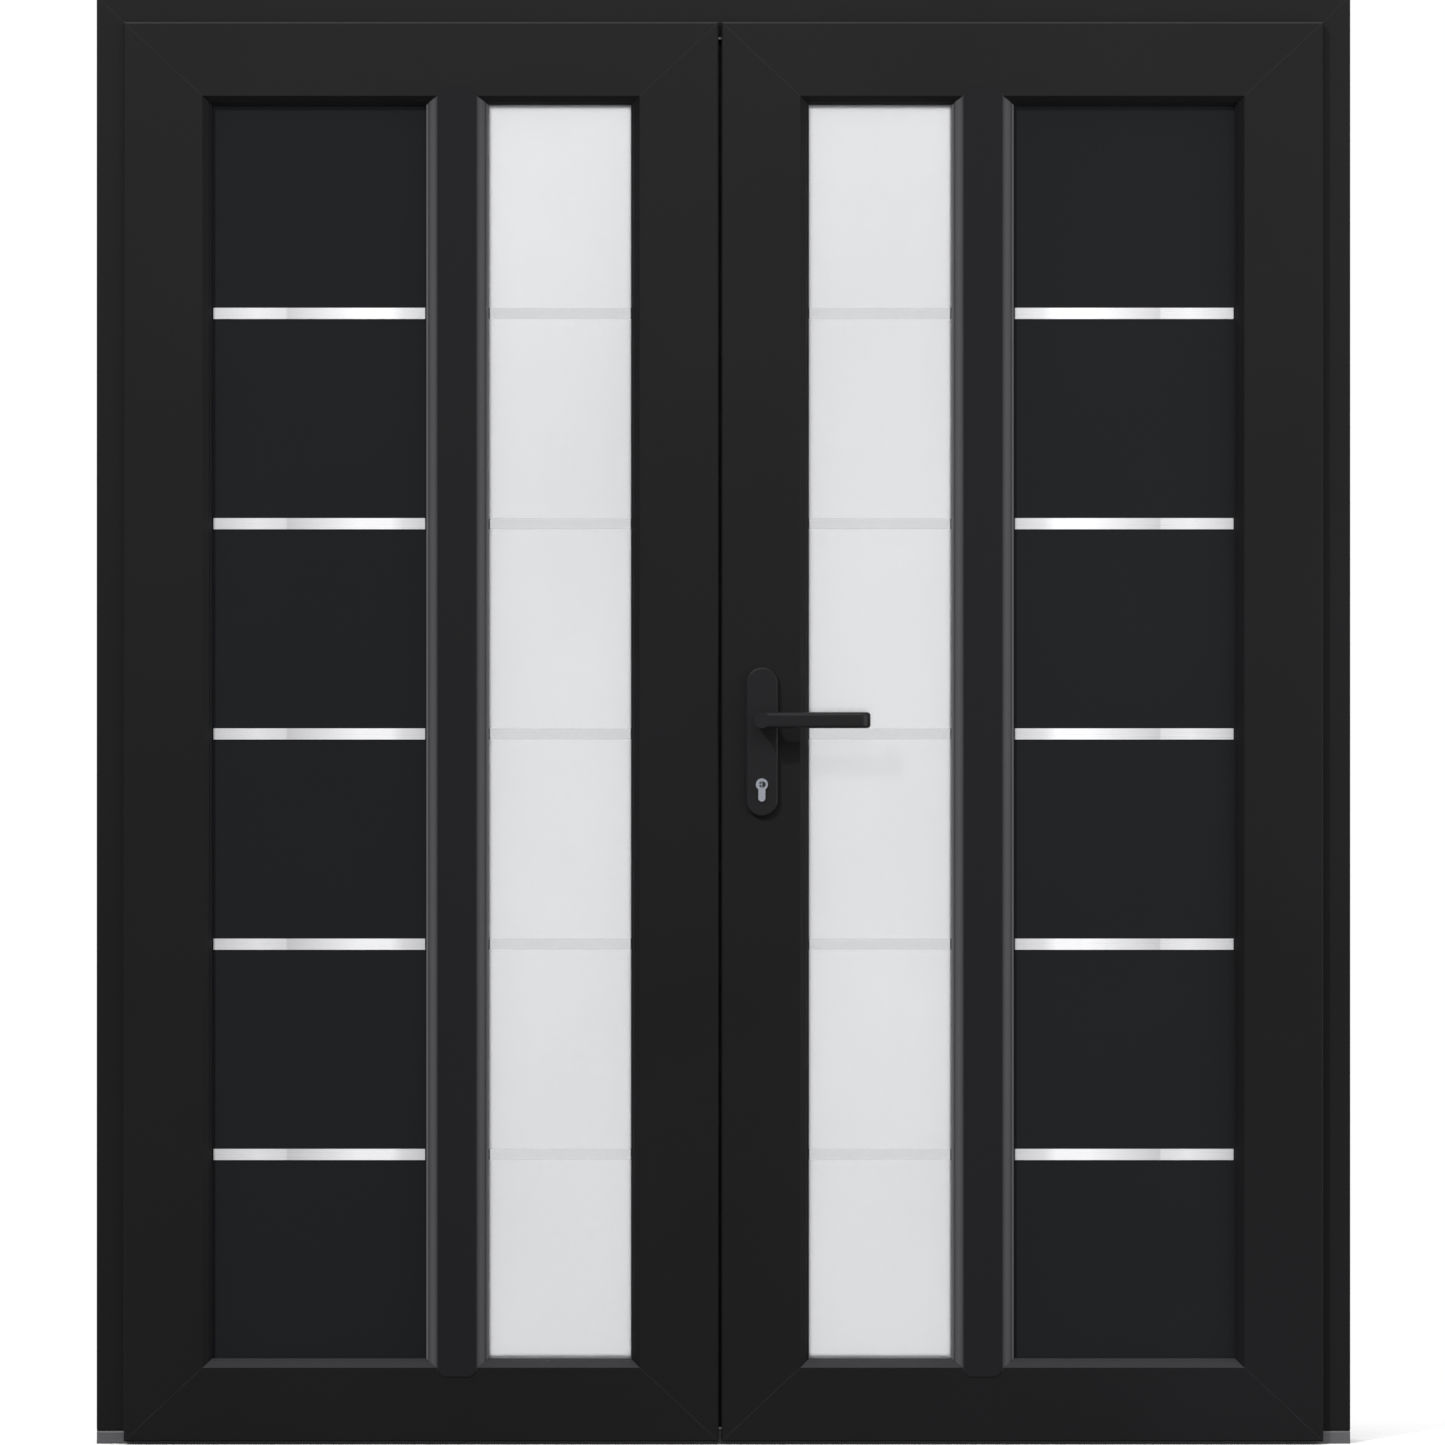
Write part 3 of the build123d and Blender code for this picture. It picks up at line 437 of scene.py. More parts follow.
# %% [markdown]
# The tall panes are frosted with a clear stripe level with every steel strip,
# so that the strips seem to run on through the glass. Light passes through
# etched glass but is scattered on the way, so it looks like thin paper. In a
# shader that is transmission with some roughness, and the clear stripes are
# the same glass with next to none. One mask tells the two apart. It is made from
# the height alone: the remainder after dividing by the pitch of the strips is
# small inside a stripe, and the stripes stop at the first and the last strip.

# %% Where the clear stripes are
STRIP_COUNT = 5
strips_low, strips_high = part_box("left_panel_strips")
STRIP_HEIGHT = 16 * MM
strip_pitch = (strips_high.z - strips_low.z - STRIP_HEIGHT) / (STRIP_COUNT - 1)


def stripe_mask(place):
    """1 inside a clear stripe and 0 in the frosted glass."""
    height = place.axis("Z")
    phase = (height - strips_low.z).math("FLOORED_MODULO", strip_pitch)
    inside = (height > strips_low.z) * (height < strips_high.z)
    return (phase < STRIP_HEIGHT) * inside


print("clear stripes every", round(strip_pitch / MM, 1), "mm from", round(strips_low.z, 4), "to",
      round(strips_high.z, 4))


# %% Frosted and clear glass
def frosted_glass(name):
    """Etched glass with clear stripes, its own surface smooth and glossy."""
    finish = Finish(name, {"Transmission Weight": 0.92, "IOR": 1.45, "Specular IOR Level": 0.3})
    stripe = stripe_mask(finish.place)
    haze = finish.noise(1.6, detail=2, stretch=(1, 1, 0.6))
    etch = finish.noise(3000, detail=1)
    frosted = haze.between(0.3, 0.7).mix(grey(230), grey(239))
    finish.feed(
        Base_Color=stripe.mix(frosted, grey(224)),
        Roughness=(1 - stripe) * (etch * 0.06 + 0.2) + 0.05,
    )
    finish.relief((1 - stripe) * etch, 0.004 * MM)
    return finish.material


def clear_glass(name):
    """Float glass: almost nothing but its reflection and a trace of grey-green."""
    finish = Finish(name, {"Coat Weight": 0.4, "Coat Roughness": 0.02})
    ripple = finish.noise(7, detail=1)
    finish.feed(
        Base_Color=ripple.mix(screen_colour(205, 214, 211), screen_colour(222, 229, 226)),
        Roughness=ripple * 0.02 + 0.02,
        Alpha=ripple * 0.04 + 0.1,
    )
    finish.relief(ripple, 0.05 * MM)
    return finish.material


etched_pane = frosted_glass("frosted_pane")
clear_pane = clear_glass("clear_pane")
print("glass:", etched_pane.name, clear_pane.name)

# %% [markdown]
# The record names a material slot for every CAD node. One table from slot to
# finish is enough to dress all of them, and a missing slot stops the script
# at once instead of leaving a grey part.

# %% Give every CAD node its finish
finish_of = {
    "frame_profile": profile_coat, "leaf_profile": profile_coat, "panel": panel_coat,
    "threshold": anodised, "strip": strip_steel, "frosted_glass": etched_pane, "clear_glass": clear_pane,
    "spacer": spacer_metal, "seal": seal_rubber, "brush": brush_pile, "hinge": hinge_coat,
    "plain_steel": zinc, "handle": handle_coat, "cylinder": nickel,
}
for subpart in frame["record"]["subparts"]:
    mesh = frame["nodes"][subpart["node"]].data
    mesh.materials.clear()
    mesh.materials.append(finish_of[subpart["material_slot"]])
for leaf in LEAVES:
    frame["nodes"][f"{leaf}_mullion"].data.materials[0] = mullion_coats[leaf]
print(len(frame["nodes"]), "nodes dressed with", len(set(finish_of.values())) + len(LEAVES), "finishes")

# %% [markdown]
# No edge on a coated profile is truly sharp, because the coat rounds it, and
# that fine rounding is what catches the light along an edge. The CAD meshes
# stay as they are, so the rounding is a modifier on top of them. A Weld comes
# first, because the faces arrive unjoined and a Bevel rounds only an edge that
# two faces share. A flat face with holes arrives as a fan of very long
# triangles, and a rounded hole would fold the thinnest of them into a dark
# line. So a planar Decimate joins each flat face into one before the Bevel.

# %% Round the edges of the hard parts
EDGE_ROUND = 0.5 * MM
rounded_slots = ("frame_profile", "leaf_profile", "threshold", "handle", "hinge")
for subpart in frame["record"]["subparts"]:
    if subpart["material_slot"] in rounded_slots:
        part = frame["nodes"][subpart["node"]]
        weld = part.modifiers.new("weld", "WELD")
        weld.merge_threshold = 0.005 * MM
        flats = part.modifiers.new("join_flat_faces", "DECIMATE")
        flats.decimate_type = "DISSOLVE"
        flats.angle_limit = math.radians(0.5)
        bevel = part.modifiers.new("edge_round", "BEVEL")
        bevel.width = EDGE_ROUND
        bevel.segments = 2
        bevel.limit_method = "ANGLE"
        bevel.angle_limit = math.radians(35)
        bevel.harden_normals = True
print("edges rounded by", EDGE_ROUND / MM, "mm on", rounded_slots)

# %% [markdown]
# The added pieces are meshes built point by point with bmesh. Each follows the
# same steps: fill an empty mesh, point its faces outward, dress it, and let it
# ride on the body it is fixed to, so that it swings and turns with that body.


# %% Make a piece from a function that fills a mesh
def make_piece(name, body, slot, build, stands_for=()):
    """Build a mesh piece, dress it from its slot and fix it to a body."""
    shape = bmesh.new()
    build(shape)
    bmesh.ops.recalc_face_normals(shape, faces=shape.faces)
    mesh = bpy.data.meshes.new(name)
    shape.to_mesh(mesh)
    shape.free()
    mesh.materials.append(finish_of[slot])
    made = bpy.data.objects.new(name, mesh)
    bpy.context.scene.collection.objects.link(made)
    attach(made, body)
    if stands_for:
        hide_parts(*stands_for)
    print(name, "rides", body, "with", len(mesh.polygons), "faces")


def join_rings(shape, rings, closed=False):
    """Faces between rings of as many points each; the ends are capped, or joined to each other."""
    made = [[shape.verts.new(point) for point in ring] for ring in rings]
    pairs = list(zip(made, made[1:])) + ([(made[-1], made[0])] if closed else [])
    for ring, following in pairs:
        for n in range(len(ring)):
            m = (n + 1) % len(ring)
            shape.faces.new((ring[n], ring[m], following[m], following[n]))
    if not closed:
        shape.faces.new(made[0])
        shape.faces.new(made[-1])


# %% [markdown]
# The draught seal on the stop is a soft rubber bulb all the way round the
# doorway. In the CAD model it is a plain square ring. Here its section is half
# an ellipse on a flat foot, carried round the four corners. At a corner both
# arms have moved inward by the same amount, which mitres them by itself.


# %% The bulb seal round the stop
def half_ellipse(width, height, steps=10):
    """Points of a dome on a flat foot: across from 0 to width, and up to height."""
    return [
        (width / 2 - width / 2 * math.cos(math.pi * n / steps), height * math.sin(math.pi * n / steps))
        for n in range(steps + 1)
    ]


def carry_round(shape, low, high, foot, section):
    """Carry a section round a rectangle seen from the front; it stands on the plane y = foot."""
    rings = []
    for x, inward_x, z, inward_z in (
        (low.x, 1, low.z, 1), (low.x, 1, high.z, -1), (high.x, -1, high.z, -1), (high.x, -1, low.z, 1),
    ):
        rings.append([(x + inward_x * across, foot - up, z + inward_z * across) for across, up in section])
    join_rings(shape, rings, closed=True)


seal_low, seal_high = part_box("frame_stop_seal")
SEAL_WIDTH = 6 * MM
make_piece(
    "stop_bulb_seal", "frame", "seal",
    lambda shape: carry_round(
        shape, seal_low, seal_high, seal_high.y, half_ellipse(SEAL_WIDTH, seal_high.y - seal_low.y)),
    stands_for=["frame_stop_seal"],
)

# %% [markdown]
# Each leaf also carries a seal in a slot down its meeting edge. Its root is
# square, to grip the slot, and only the rounded bulb shows. The two bulbs meet
# in the middle of the gap and press on each other, so no light comes through.

# %% The bulb seals between the leaves
BULB_PRESS = 0.05 * MM


def meeting_seal(shape, leaf):
    """An upright bar: a square root in the slot and a round bulb in the gap."""
    low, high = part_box(f"{leaf}_meeting_seal")
    edge = meeting_edge(leaf)
    out = towards_meeting(leaf)
    root = low.x if out > 0 else high.x
    bulb = abs(meeting_edge("right") - meeting_edge("left")) / 2 + BULB_PRESS
    dome = half_ellipse(high.y - low.y, bulb)
    section = [(root, high.y), (root, low.y)] + [(edge + out * up, low.y + across) for across, up in dome]
    join_rings(shape, [[(x, y, z) for x, y in section] for z in (low.z, high.z)])


for leaf in LEAVES:
    make_piece(
        f"{leaf}_meeting_bulb", f"{leaf}_leaf", "seal",
        lambda shape, leaf=leaf: meeting_seal(shape, leaf), stands_for=[f"{leaf}_meeting_seal"],
    )

# %% [markdown]
# Under each leaf a brush closes the gap above the threshold. Real pile is set
# in a narrow metal holder, in rows that lean a little different ways. Each
# bristle here is a thin four-sided spike. The lean comes from sines of its own
# place, which looks random and is still the same in every run.

# %% The brushes under the leaves
BRISTLE_PITCH = 1.8 * MM
BRISTLE_ROWS = 4
BRISTLE_WIDTH = 0.9 * MM
BRISTLE_LEAN = 0.4 * MM
BRISTLE_UNEVEN = 0.3 * MM
HOLDER_HEIGHT = 1.6 * MM


def brush(shape, leaf):
    """A holder strip with rows of bristles under it."""
    low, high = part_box(f"{leaf}_bottom_brush")
    holder = high.z - HOLDER_HEIGHT
    join_rings(shape, [
        [(low.x, low.y, z), (high.x, low.y, z), (high.x, high.y, z), (low.x, high.y, z)]
        for z in (holder, high.z)
    ])
    columns = int((high.x - low.x - 2 * BRISTLE_PITCH) / BRISTLE_PITCH)
    row_pitch = (high.y - low.y) / BRISTLE_ROWS
    for row in range(BRISTLE_ROWS):
        y = low.y + row_pitch * (row + 0.5)
        for column in range(columns):
            x = low.x + BRISTLE_PITCH * (column + 1 + 0.5 * (row % 2))
            lean_x = BRISTLE_LEAN * math.sin(7.3 * column + 2.1 * row)
            lean_y = BRISTLE_LEAN * math.sin(4.7 * column + 3.9 * row)
            tip = low.z + BRISTLE_UNEVEN * (1 + math.sin(5.9 * column + 1.3 * row))
            rings = []
            for z, half, shift in ((holder, BRISTLE_WIDTH / 2, 0), (tip, BRISTLE_WIDTH / 4, 1)):
                cx, cy = x + lean_x * shift, y + lean_y * shift
                rings.append([
                    (cx - half, cy - half, z), (cx + half, cy - half, z),
                    (cx + half, cy + half, z), (cx - half, cy + half, z),
                ])
            join_rings(shape, rings)


for leaf in LEAVES:
    make_piece(
        f"{leaf}_brush_pile", f"{leaf}_leaf", "brush",
        lambda shape, leaf=leaf: brush(shape, leaf), stands_for=[f"{leaf}_bottom_brush"],
    )

# %% [markdown]
# Where two profiles are cut at an angle and joined, a hairline stays visible
# in the coat. It is far thinner than a pixel in a picture of the whole door,
# so it is drawn as a very thin dark ribbon that stands a few hundredths of a
# millimetre proud. From afar it only darkens the joint a little.

# %% Hairlines on the mitres
HAIRLINE_WIDTH = 0.5 * MM
HAIRLINE_RISE = 0.04 * MM
LEAF_CORNER = 3 * MM
FRAME_CORNER = 1 * MM
STILE_FACE = 113 * MM
RAIL_FACE = 106 * MM
FRAME_FACE = 60 * MM


def hairline(shape, start, end, face):
    """A ribbon on a plane y = face between two points given as x and z."""
    along = Vector((end[0] - start[0], 0, end[1] - start[1])).normalized()
    aside = Vector((-along.z, 0, along.x)) * HAIRLINE_WIDTH / 2
    rings = []
    for x, z in (start, end):
        foot = Vector((x, face, z))
        rise = Vector((0, -HAIRLINE_RISE, 0))
        rings.append([foot + aside, foot - aside, foot - aside + rise, foot + aside + rise])
    join_rings(shape, rings)


def leaf_hairlines(shape, leaf):
    """The four mitres of a leaf, from its corners to the moulding."""
    inward = towards_meeting(leaf)
    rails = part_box(f"{leaf}_bottom_rail")[0].z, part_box(f"{leaf}_top_rail")[1].z
    for x, step_x in ((outer_edge(leaf), inward), (meeting_edge(leaf), -inward)):
        for z, step_z in ((rails[0], 1), (rails[1], -1)):
            start = (x + step_x * LEAF_CORNER, z + step_z * LEAF_CORNER * RAIL_FACE / STILE_FACE)
            end = (x + step_x * STILE_FACE, z + step_z * RAIL_FACE)
            hairline(shape, start, end, leaf_front)


def frame_hairlines(shape):
    """The two mitres between the jambs and the head."""
    for side in (-1, 1):
        start = (side * (cad_high.x - FRAME_CORNER), door_height - FRAME_CORNER)
        end = (side * (cad_high.x - FRAME_FACE), door_height - FRAME_FACE)
        hairline(shape, start, end, frame_front)


for leaf in LEAVES:
    make_piece(f"{leaf}_mitre_hairlines", f"{leaf}_leaf", "seal",
               lambda shape, leaf=leaf: leaf_hairlines(shape, leaf))
make_piece("frame_mitre_hairlines", "frame", "seal", frame_hairlines)

# %% [markdown]
# The lock's plug has a slot for the key. The shade inside the keyway, with one
# bright ground flank beside it, shows from a distance as a dark spot. Here that
# shade is painted: a thin dark ring round the slot, which leaves the slot open,
# and the flank is a small metal wedge.
# Both ride on the lock's core, so they turn with the key.

# %% Painted shade at the mouth of the keyway
plug_low, plug_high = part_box("key_plug")
PLUG_X = (plug_low.x + plug_high.x) / 2
PLUG_Z = (plug_low.z + plug_high.z) / 2
MOUTH_HALF = (5.1 * MM, 4.5 * MM)
SLOT_HALF = (0.8 * MM, 4 * MM)
MOUTH_SHIFT = 0.5 * MM
MOUTH_PROUD = 0.15 * MM
MOUTH_STEPS = 32
FLANK_REACH = 4.3 * MM
FLANK_HALF = 1.5 * MM
SQUARED = 0.35


def oval(half, shift, power, y):
    """Points round an oval; a small power squares its corners."""
    ring = []
    for n in range(MOUTH_STEPS):
        turn = 2 * math.pi * (n + 0.5) / MOUTH_STEPS
        across, up = (math.copysign(abs(f(turn)) ** power, f(turn)) for f in (math.cos, math.sin))
        ring.append((PLUG_X + shift + half[0] * across, y, PLUG_Z + half[1] * up))
    return ring


def keyway_painted_shade(shape):
    """A flat dark oval ring of painted shade round the slot, a little proud of the plug's face."""
    front, back = plug_low.y - MOUTH_PROUD, plug_low.y + MOUTH_PROUD
    join_rings(shape, [
        oval(MOUTH_HALF, MOUTH_SHIFT, 1, front), oval(MOUTH_HALF, MOUTH_SHIFT, 1, back),
        oval(SLOT_HALF, 0, SQUARED, back), oval(SLOT_HALF, 0, SQUARED, front),
    ], closed=True)


def keyway_flank(shape):
    """A small wedge left of the slot, its point towards the slot."""
    outline = ((-FLANK_REACH, -1), (-SLOT_HALF[0], -1 / 3), (-SLOT_HALF[0], 1 / 3), (-FLANK_REACH, 1))
    join_rings(shape, [
        [(PLUG_X + across, y, PLUG_Z + FLANK_HALF * up) for across, up in outline]
        for y in (plug_low.y - 2 * MOUTH_PROUD, plug_low.y)
    ])


# The dark ring is painted shade, made of the dark seal rubber.
make_piece("keyway_painted_shade", "lock_core", "seal", keyway_painted_shade)
make_piece("keyway_flank", "lock_core", "cylinder", keyway_flank)

# %% [markdown]
# Screws hold the hinges, faceplates, keepers, the threshold and the inside
# plate of the handle. They are the kind with a six-sided socket, which is easy
# to build from rings: circles for the rim of the head, then a hexagon with as
# many points as the circle, once at the top of the socket and once at its
# floor. Joining ring to ring makes all the faces. On the faceplates a screw is
# left out where it would sit on a bolt or on an opening for the thumb.

# %% A screw head with a six-sided socket
SCREW_STEPS = 24


def socket_screw(shape, centre, out, radius, rise=0.5 * MM, socket=1.2 * MM):
    """A low domed screw head whose foot is at centre and whose top looks along out."""
    up = Vector(out)
    side = Vector((0, 0, 1)).cross(up) if abs(up.z) < 0.5 else Vector((1, 0, 0))
    side.normalize()
    other = up.cross(side)

    def ring(reach, height, hexagon=False):
        """Points round the screw's axis; a hexagon's sides are flat between its corners."""
        points = []
        for n in range(SCREW_STEPS):
            angle = 2 * math.pi * n / SCREW_STEPS
            part = (angle + math.pi / 6) % (math.pi / 3) - math.pi / 6
            size = reach * math.cos(math.pi / 6) / math.cos(part) if hexagon else reach
            points.append(centre + (side * math.cos(angle) + other * math.sin(angle)) * size + up * height)
        return points

    join_rings(shape, [
        ring(radius, 0), ring(radius, rise * 0.4), ring(radius * 0.86, rise * 0.85),
        ring(radius * 0.7, rise), ring(radius * 0.5, rise, hexagon=True),
        ring(radius * 0.46, rise - socket, hexagon=True),
    ])


def screws(name, body, slot, radius, places):
    """One piece with a screw head at each place: centre and the way it looks."""
    def build(shape):
        for centre, out in places:
            socket_screw(shape, Vector(centre), out, radius)
    make_piece(name, body, slot, build)


# %% Screws of the faceplates and of the inside handle plate
SCREW_SPACING = 230 * MM
SCREW_CLEAR = 40 * MM
SCREW_FREE = 12 * MM
THUMB_OPENINGS = [(0.30, 0.36), (1.68, 1.74)]
bolt_heights = [(low.z, high.z) for low, high in (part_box("latch_bolt"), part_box("deadbolt"))]

for leaf in LEAVES:
    low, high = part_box(f"{leaf}_faceplate")
    out = (towards_meeting(leaf), 0, 0)
    middle = (low.y + high.y) / 2
    count = int((high.z - low.z - 2 * SCREW_CLEAR) / SCREW_SPACING) + 1
    step = (high.z - low.z - 2 * SCREW_CLEAR) / (count - 1)
    places = []
    for n in range(count):
        z = low.z + SCREW_CLEAR + n * step
        busy = bolt_heights + THUMB_OPENINGS
        if all(z < bottom - SCREW_FREE or z > top + SCREW_FREE for bottom, top in busy):
            places.append(((meeting_edge(leaf), middle, z), out))
    screws(f"{leaf}_faceplate_screws", f"{leaf}_leaf", "plain_steel", 4 * MM, places)

plate_low, plate_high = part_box("inside_escutcheon")
plate_x = (plate_low.x + plate_high.x) / 2
PLATE_SCREW_INSET = 11 * MM
screws(
    "inside_plate_screws", "right_leaf", "plain_steel", 4 * MM,
    [((plate_x, plate_high.y, z), (0, 1, 0))
     for z in (plate_low.z + PLATE_SCREW_INSET, plate_high.z - PLATE_SCREW_INSET)],
)

# %% [markdown]
# The hinges are hidden behind the leaves' lips, and their plates lie along
# the rebate on one side and along the leaf's edge on the other. Three screws
# hold each plate. The plates come in one CAD node for each side, so the
# height of each hinge is found by looking at which heights the node's points
# have: a gap in the sorted list means that one hinge ends and the next begins.


# %% Screws of the hinge plates
def separate_heights(node, gap):
    """Lowest and highest Z of each separate stretch of a CAD node."""
    heights = sorted(v.co.z for v in frame["nodes"][node].data.vertices)
    stretches = [[heights[0], heights[0]]]
    for z in heights:
        if z - stretches[-1][1] > gap:
            stretches.append([z, z])
        stretches[-1][1] = z
    return stretches


HINGE_SCREW_DEPTH = 14 * MM
HINGE_SCREW_SHIFT = 5 * MM
HINGE_SCREW_SPREAD = 0.36
HINGE_SPACING = 200 * MM
HINGE_PLATE = 3 * MM
for leaf in LEAVES:
    inward = towards_meeting(leaf)
    for kind, body, way in (("frame", "frame", 1), ("leaf", f"{leaf}_leaf", -1)):
        node = f"{leaf}_hinge_{kind}_plates"
        low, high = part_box(node)
        if kind == "frame":
            face = high.x if inward > 0 else low.x
        else:
            face = (high.x if inward > 0 else low.x) - inward * HINGE_PLATE
        hinge_y = high.y - HINGE_SCREW_DEPTH
        places = []
        for bottom, top in separate_heights(node, gap=HINGE_SPACING):
            middle, reach = (bottom + top) / 2, (top - bottom) * HINGE_SCREW_SPREAD
            places += [
                ((face, hinge_y + shift, z), (inward * way, 0, 0))
                for z, shift in ((middle - reach, 0), (middle, HINGE_SCREW_SHIFT), (middle + reach, 0))
            ]
        screws(f"{leaf}_{kind}_hinge_screws", body, "plain_steel", 3.4 * MM, places)

# %% [markdown]
# Two screws hold each keeper plate, and four the threshold. The frame's wall
# anchors go through the jambs behind the leaves, where a plastic cap covers
# each hole. All of these are seen only when a leaf is open.

# %% Screws of the keepers and the threshold
KEEPER_SCREW_INSET = 9 * MM
for name, out in (("head_keeper", (0, 0, -1)), ("threshold_keeper", (0, 0, 1))):
    low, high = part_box(name)
    face = low.z if out[2] < 0 else high.z
    screws(
        f"{name}_screws", "frame", "plain_steel", 3.2 * MM,
        [((x, (low.y + high.y) / 2, face), out)
         for x in (low.x + KEEPER_SCREW_INSET, high.x - KEEPER_SCREW_INSET)],
    )

THRESHOLD_TOP = 20 * MM
THRESHOLD_SCREW_Y = -24 * MM
THRESHOLD_SHARES = (-0.78, -0.26, 0.26, 0.78)
threshold_places = [
    ((share * cad_high.x, THRESHOLD_SCREW_Y, THRESHOLD_TOP), (0, 0, 1)) for share in THRESHOLD_SHARES
]
screws("threshold_screws", "frame", "plain_steel", 4 * MM, threshold_places)


# %% Caps over the wall anchors
ANCHOR_HEIGHTS = (220 * MM, 1060 * MM, door_height - 180 * MM)
CAP_RADIUS = 7 * MM
CAP_RISE = 1.4 * MM
jamb_wall = cad_high.x - FRAME_FACE


def anchor_caps(shape):
    """Low domed caps on the rebate walls of both jambs."""
    for side in (-1, 1):
        for z in ANCHOR_HEIGHTS:
            rings = []
            for reach, rise in ((1, 0), (1, 0.35), (0.86, 0.8), (0.5, 1)):
                rings.append([
                    (side * (jamb_wall - rise * CAP_RISE),
                     reach * CAP_RADIUS * math.cos(2 * math.pi * n / SCREW_STEPS),
                     z + reach * CAP_RADIUS * math.sin(2 * math.pi * n / SCREW_STEPS))
                    for n in range(SCREW_STEPS)
                ])
            join_rings(shape, rings)


make_piece("anchor_caps", "frame", "seal", anchor_caps)

# %% [markdown]
# The photograph is a straight front view of the outside, so the camera stands
# far away on a long lens, where lines that run back hardly draw together. One
# pixel of the picture is 1.4335 mm at the face of the leaves. The picture is
# 1445 pixels wide, which sets how much the lens has to take in, and the
# middle of the picture falls halfway up that width above the floor.

# %% Set up the camera
PICTURE_PIXELS = 1445
MM_PER_PIXEL = 1.4335
CAMERA_ASIDE = -1.4 * MM
LENS = 180
SENSOR = 36
picture_width = PICTURE_PIXELS * MM_PER_PIXEL * MM
camera_distance = picture_width * LENS / SENSOR

camera_data = bpy.data.cameras.new("front_camera")
camera_data.lens = LENS
camera_data.sensor_width = SENSOR
camera_data.clip_start = 0.1
camera_data.clip_end = 200
camera = bpy.data.objects.new("front_camera", camera_data)
camera.location = (CAMERA_ASIDE, leaf_front - camera_distance, picture_width / 2)
camera.rotation_euler = (math.radians(90), 0, 0)
bpy.context.scene.collection.objects.link(camera)
bpy.context.scene.camera = camera
print("camera stands", round(camera_distance, 2), "m in front and sees", round(picture_width, 3), "m")

# %% [markdown]
# The lever's shadow falls down and to the right, and the handle plate, which
# is 10 mm thick, throws one about 7 mm to the right and 9 mm down. So the main
# light comes from the upper left and in front, and a sun lamp pointed that way
# gives the same shadow everywhere. A wide soft panel high in front lights the
# upper part more than the foot, as the picture shows on the satin profiles. A
# reflector on the right lights the slopes that look away from the sun, and a
# weak panel stands behind for the inside.

# %% Set up the lamps
SUN_DIRECTION = (0.7, 1, -0.9)
SUN_STRENGTH = 2.1
SUN_SPREAD = 2.5


def aim(lamp, direction):
    """Turn a lamp so that it shines along a direction."""
    lamp.rotation_euler = Vector(direction).to_track_quat("-Z", "Y").to_euler()


def soft_panel(name, place, target, size, watts):
    """A rectangular soft light."""
    data = bpy.data.lights.new(name, "AREA")
    data.shape = "RECTANGLE"
    data.size, data.size_y = size
    data.energy = watts
    lamp = bpy.data.objects.new(name, data)
    lamp.location = place
    aim(lamp, Vector(target) - Vector(place))
    bpy.context.scene.collection.objects.link(lamp)
    return lamp


sun_data = bpy.data.lights.new("key_sun", "SUN")
sun_data.energy = SUN_STRENGTH
sun_data.angle = math.radians(SUN_SPREAD)
sun = bpy.data.objects.new("key_sun", sun_data)
aim(sun, SUN_DIRECTION)
bpy.context.scene.collection.objects.link(sun)

soft_panel("high_front", (0, -3.2, 2.9), (0, 0, 1.7), (4.4, 1.6), 46)
soft_panel("right_reflector", (2.6, -1.3, 1.2), (0, 0, 1.1), (2.0, 2.2), 30)
back_fill = soft_panel("back_fill", (-1.4, 3.2, 2.4), (0, 0, 1.0), (2.4, 2.4), 30)
back_fill.visible_transmission = False

# %% [markdown]
# The background is white, and so is what shows through the clear stripes.
# Light Path tells the world's shader which kind of ray asks: the camera, and
# rays through glass or off a mirror towards the back of the door, get white.
# All other rays get a soft grey studio that is brighter above than below, so
# the white doesn't add light to the dark door. A bright patch overhead lights
# every slope that looks up, such as the moulding under the panels.

# %% The world
WALLS_LOW = (0.12, 0.122, 0.127, 1)
WALLS_HIGH = (0.5, 0.5, 0.5, 1)
OVERHEAD = (1.7, 1.7, 1.7, 1)
WHITE = (1, 1, 1, 1)
world = bpy.data.worlds.new("studio")
bpy.context.scene.world = world
world.use_nodes = True
background = world.node_tree.nodes["Background"]
sky = Socket(world.node_tree)
direction = sky.node("ShaderNodeTexCoord", output="Generated")
height = direction.axis("Z")
behind = direction.axis("Y").between(-0.1, 0.25)
walls = height.between(-0.4, 0.9).mix(WALLS_LOW, WALLS_HIGH)
studio = height.between(0.7, 0.95).mix(walls, OVERHEAD)
is_camera = sky.node("ShaderNodeLightPath", output="Is Camera Ray")
is_glass = sky.node("ShaderNodeLightPath", output="Is Transmission Ray")
is_mirror = sky.node("ShaderNodeLightPath", output="Is Glossy Ray")
seen = is_camera.math("MAXIMUM", is_glass).math("MAXIMUM", is_mirror * behind)
world.node_tree.links.new(seen.mix(studio, WHITE).output, background.inputs["Color"])
print("world:", world.name)

# %% [markdown]
# The floor is pale and plain. Close to the door it takes the door's shadow,
# and a little further out it fades into the white background, so that no
# horizon shows beside the frame. The fade is a Mix Shader between a lit
# surface and plain white, and its factor is the distance from the door. Only
# what the camera sees is white and pale: for light that bounces, the floor is
# a mid grey, or it would light the dark profiles from below.

# %% The floor
FLOOR_SIZE = 30
FADE_NEAR = 0.06
FADE_FAR = 0.3


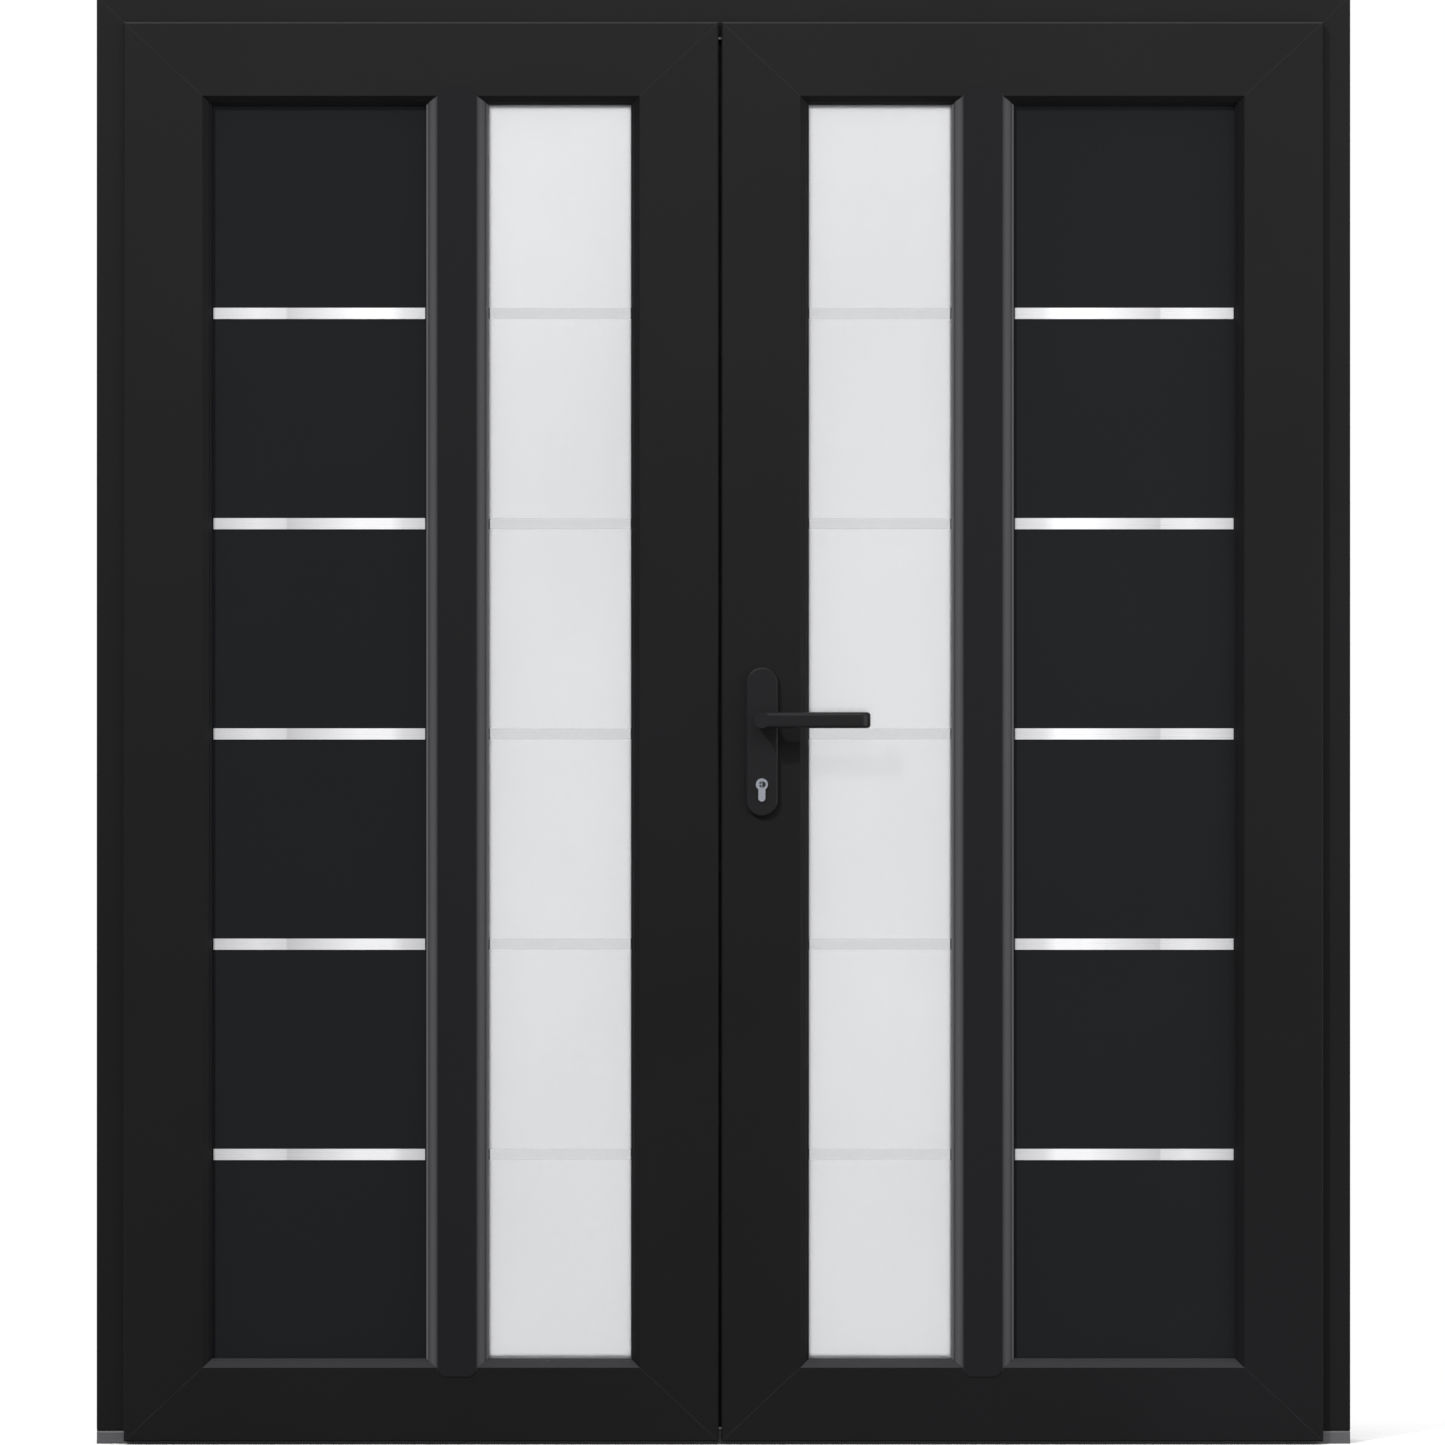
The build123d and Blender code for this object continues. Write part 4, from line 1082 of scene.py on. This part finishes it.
def build_floor():
    """A large flat floor under the door."""
    half = FLOOR_SIZE / 2
    mesh = bpy.data.meshes.new("floor")
    corners = [(-half, -half, 0), (half, -half, 0), (half, half, 0), (-half, half, 0)]
    mesh.from_pydata(corners, [], [(0, 1, 2, 3)])
    made = bpy.data.objects.new("floor", mesh)
    bpy.context.scene.collection.objects.link(made)
    return made


floor = build_floor()
floor_material = bpy.data.materials.new("pale_floor")
floor_material.use_nodes = True
floor_tree = floor_material.node_tree
floor_root = Socket(floor_tree)
lit = floor_tree.nodes["Principled BSDF"]
lit.inputs["Roughness"].default_value = 0.8
lit.inputs["Specular IOR Level"].default_value = 0.1
floor_place = floor_root.node("ShaderNodeTexCoord", output="Object")
floor_grain = floor_root.node(
    "ShaderNodeTexNoise", None, {"Vector": floor_place, "Scale": 60.0, "Detail": 3.0})
looked_at = floor_root.node("ShaderNodeLightPath", output="Is Camera Ray")
shone_through = floor_root.node("ShaderNodeLightPath", output="Is Transmission Ray")
mirrored = floor_root.node("ShaderNodeLightPath", output="Is Glossy Ray")
rear = floor_place.axis("Y") > 0
floor_seen = looked_at.math("MAXIMUM", shone_through).math("MAXIMUM", mirrored * rear)
pale = floor_grain.mix(screen_colour(246, 246, 246), screen_colour(250, 250, 250))
floor_tree.links.new(floor_seen.mix(grey(140), pale).output, lit.inputs["Base Color"])
away_y = floor_place.axis("Y").math("ABSOLUTE")
away_x = floor_place.axis("X").math("ABSOLUTE") - cad_high.x
away = away_y.math("MAXIMUM", away_x)
white = floor_root.node("ShaderNodeEmission", None, {"Color": WHITE})
faded = floor_root.node(
    "ShaderNodeMixShader", None, {0: away.between(FADE_NEAR, FADE_FAR) * floor_seen, 2: white})
floor_tree.links.new(lit.outputs[0], faded.output.node.inputs[1])
floor_tree.links.new(faded.output, floor_tree.nodes["Material Output"].inputs["Surface"])
floor.data.materials.append(floor_material)
print("floor fades to white between", FADE_NEAR, "and", FADE_FAR, "m")

# %% [markdown]
# The Standard view shows colours as they were written.

# %% Set the view
bpy.context.scene.view_settings.view_transform = "Standard"
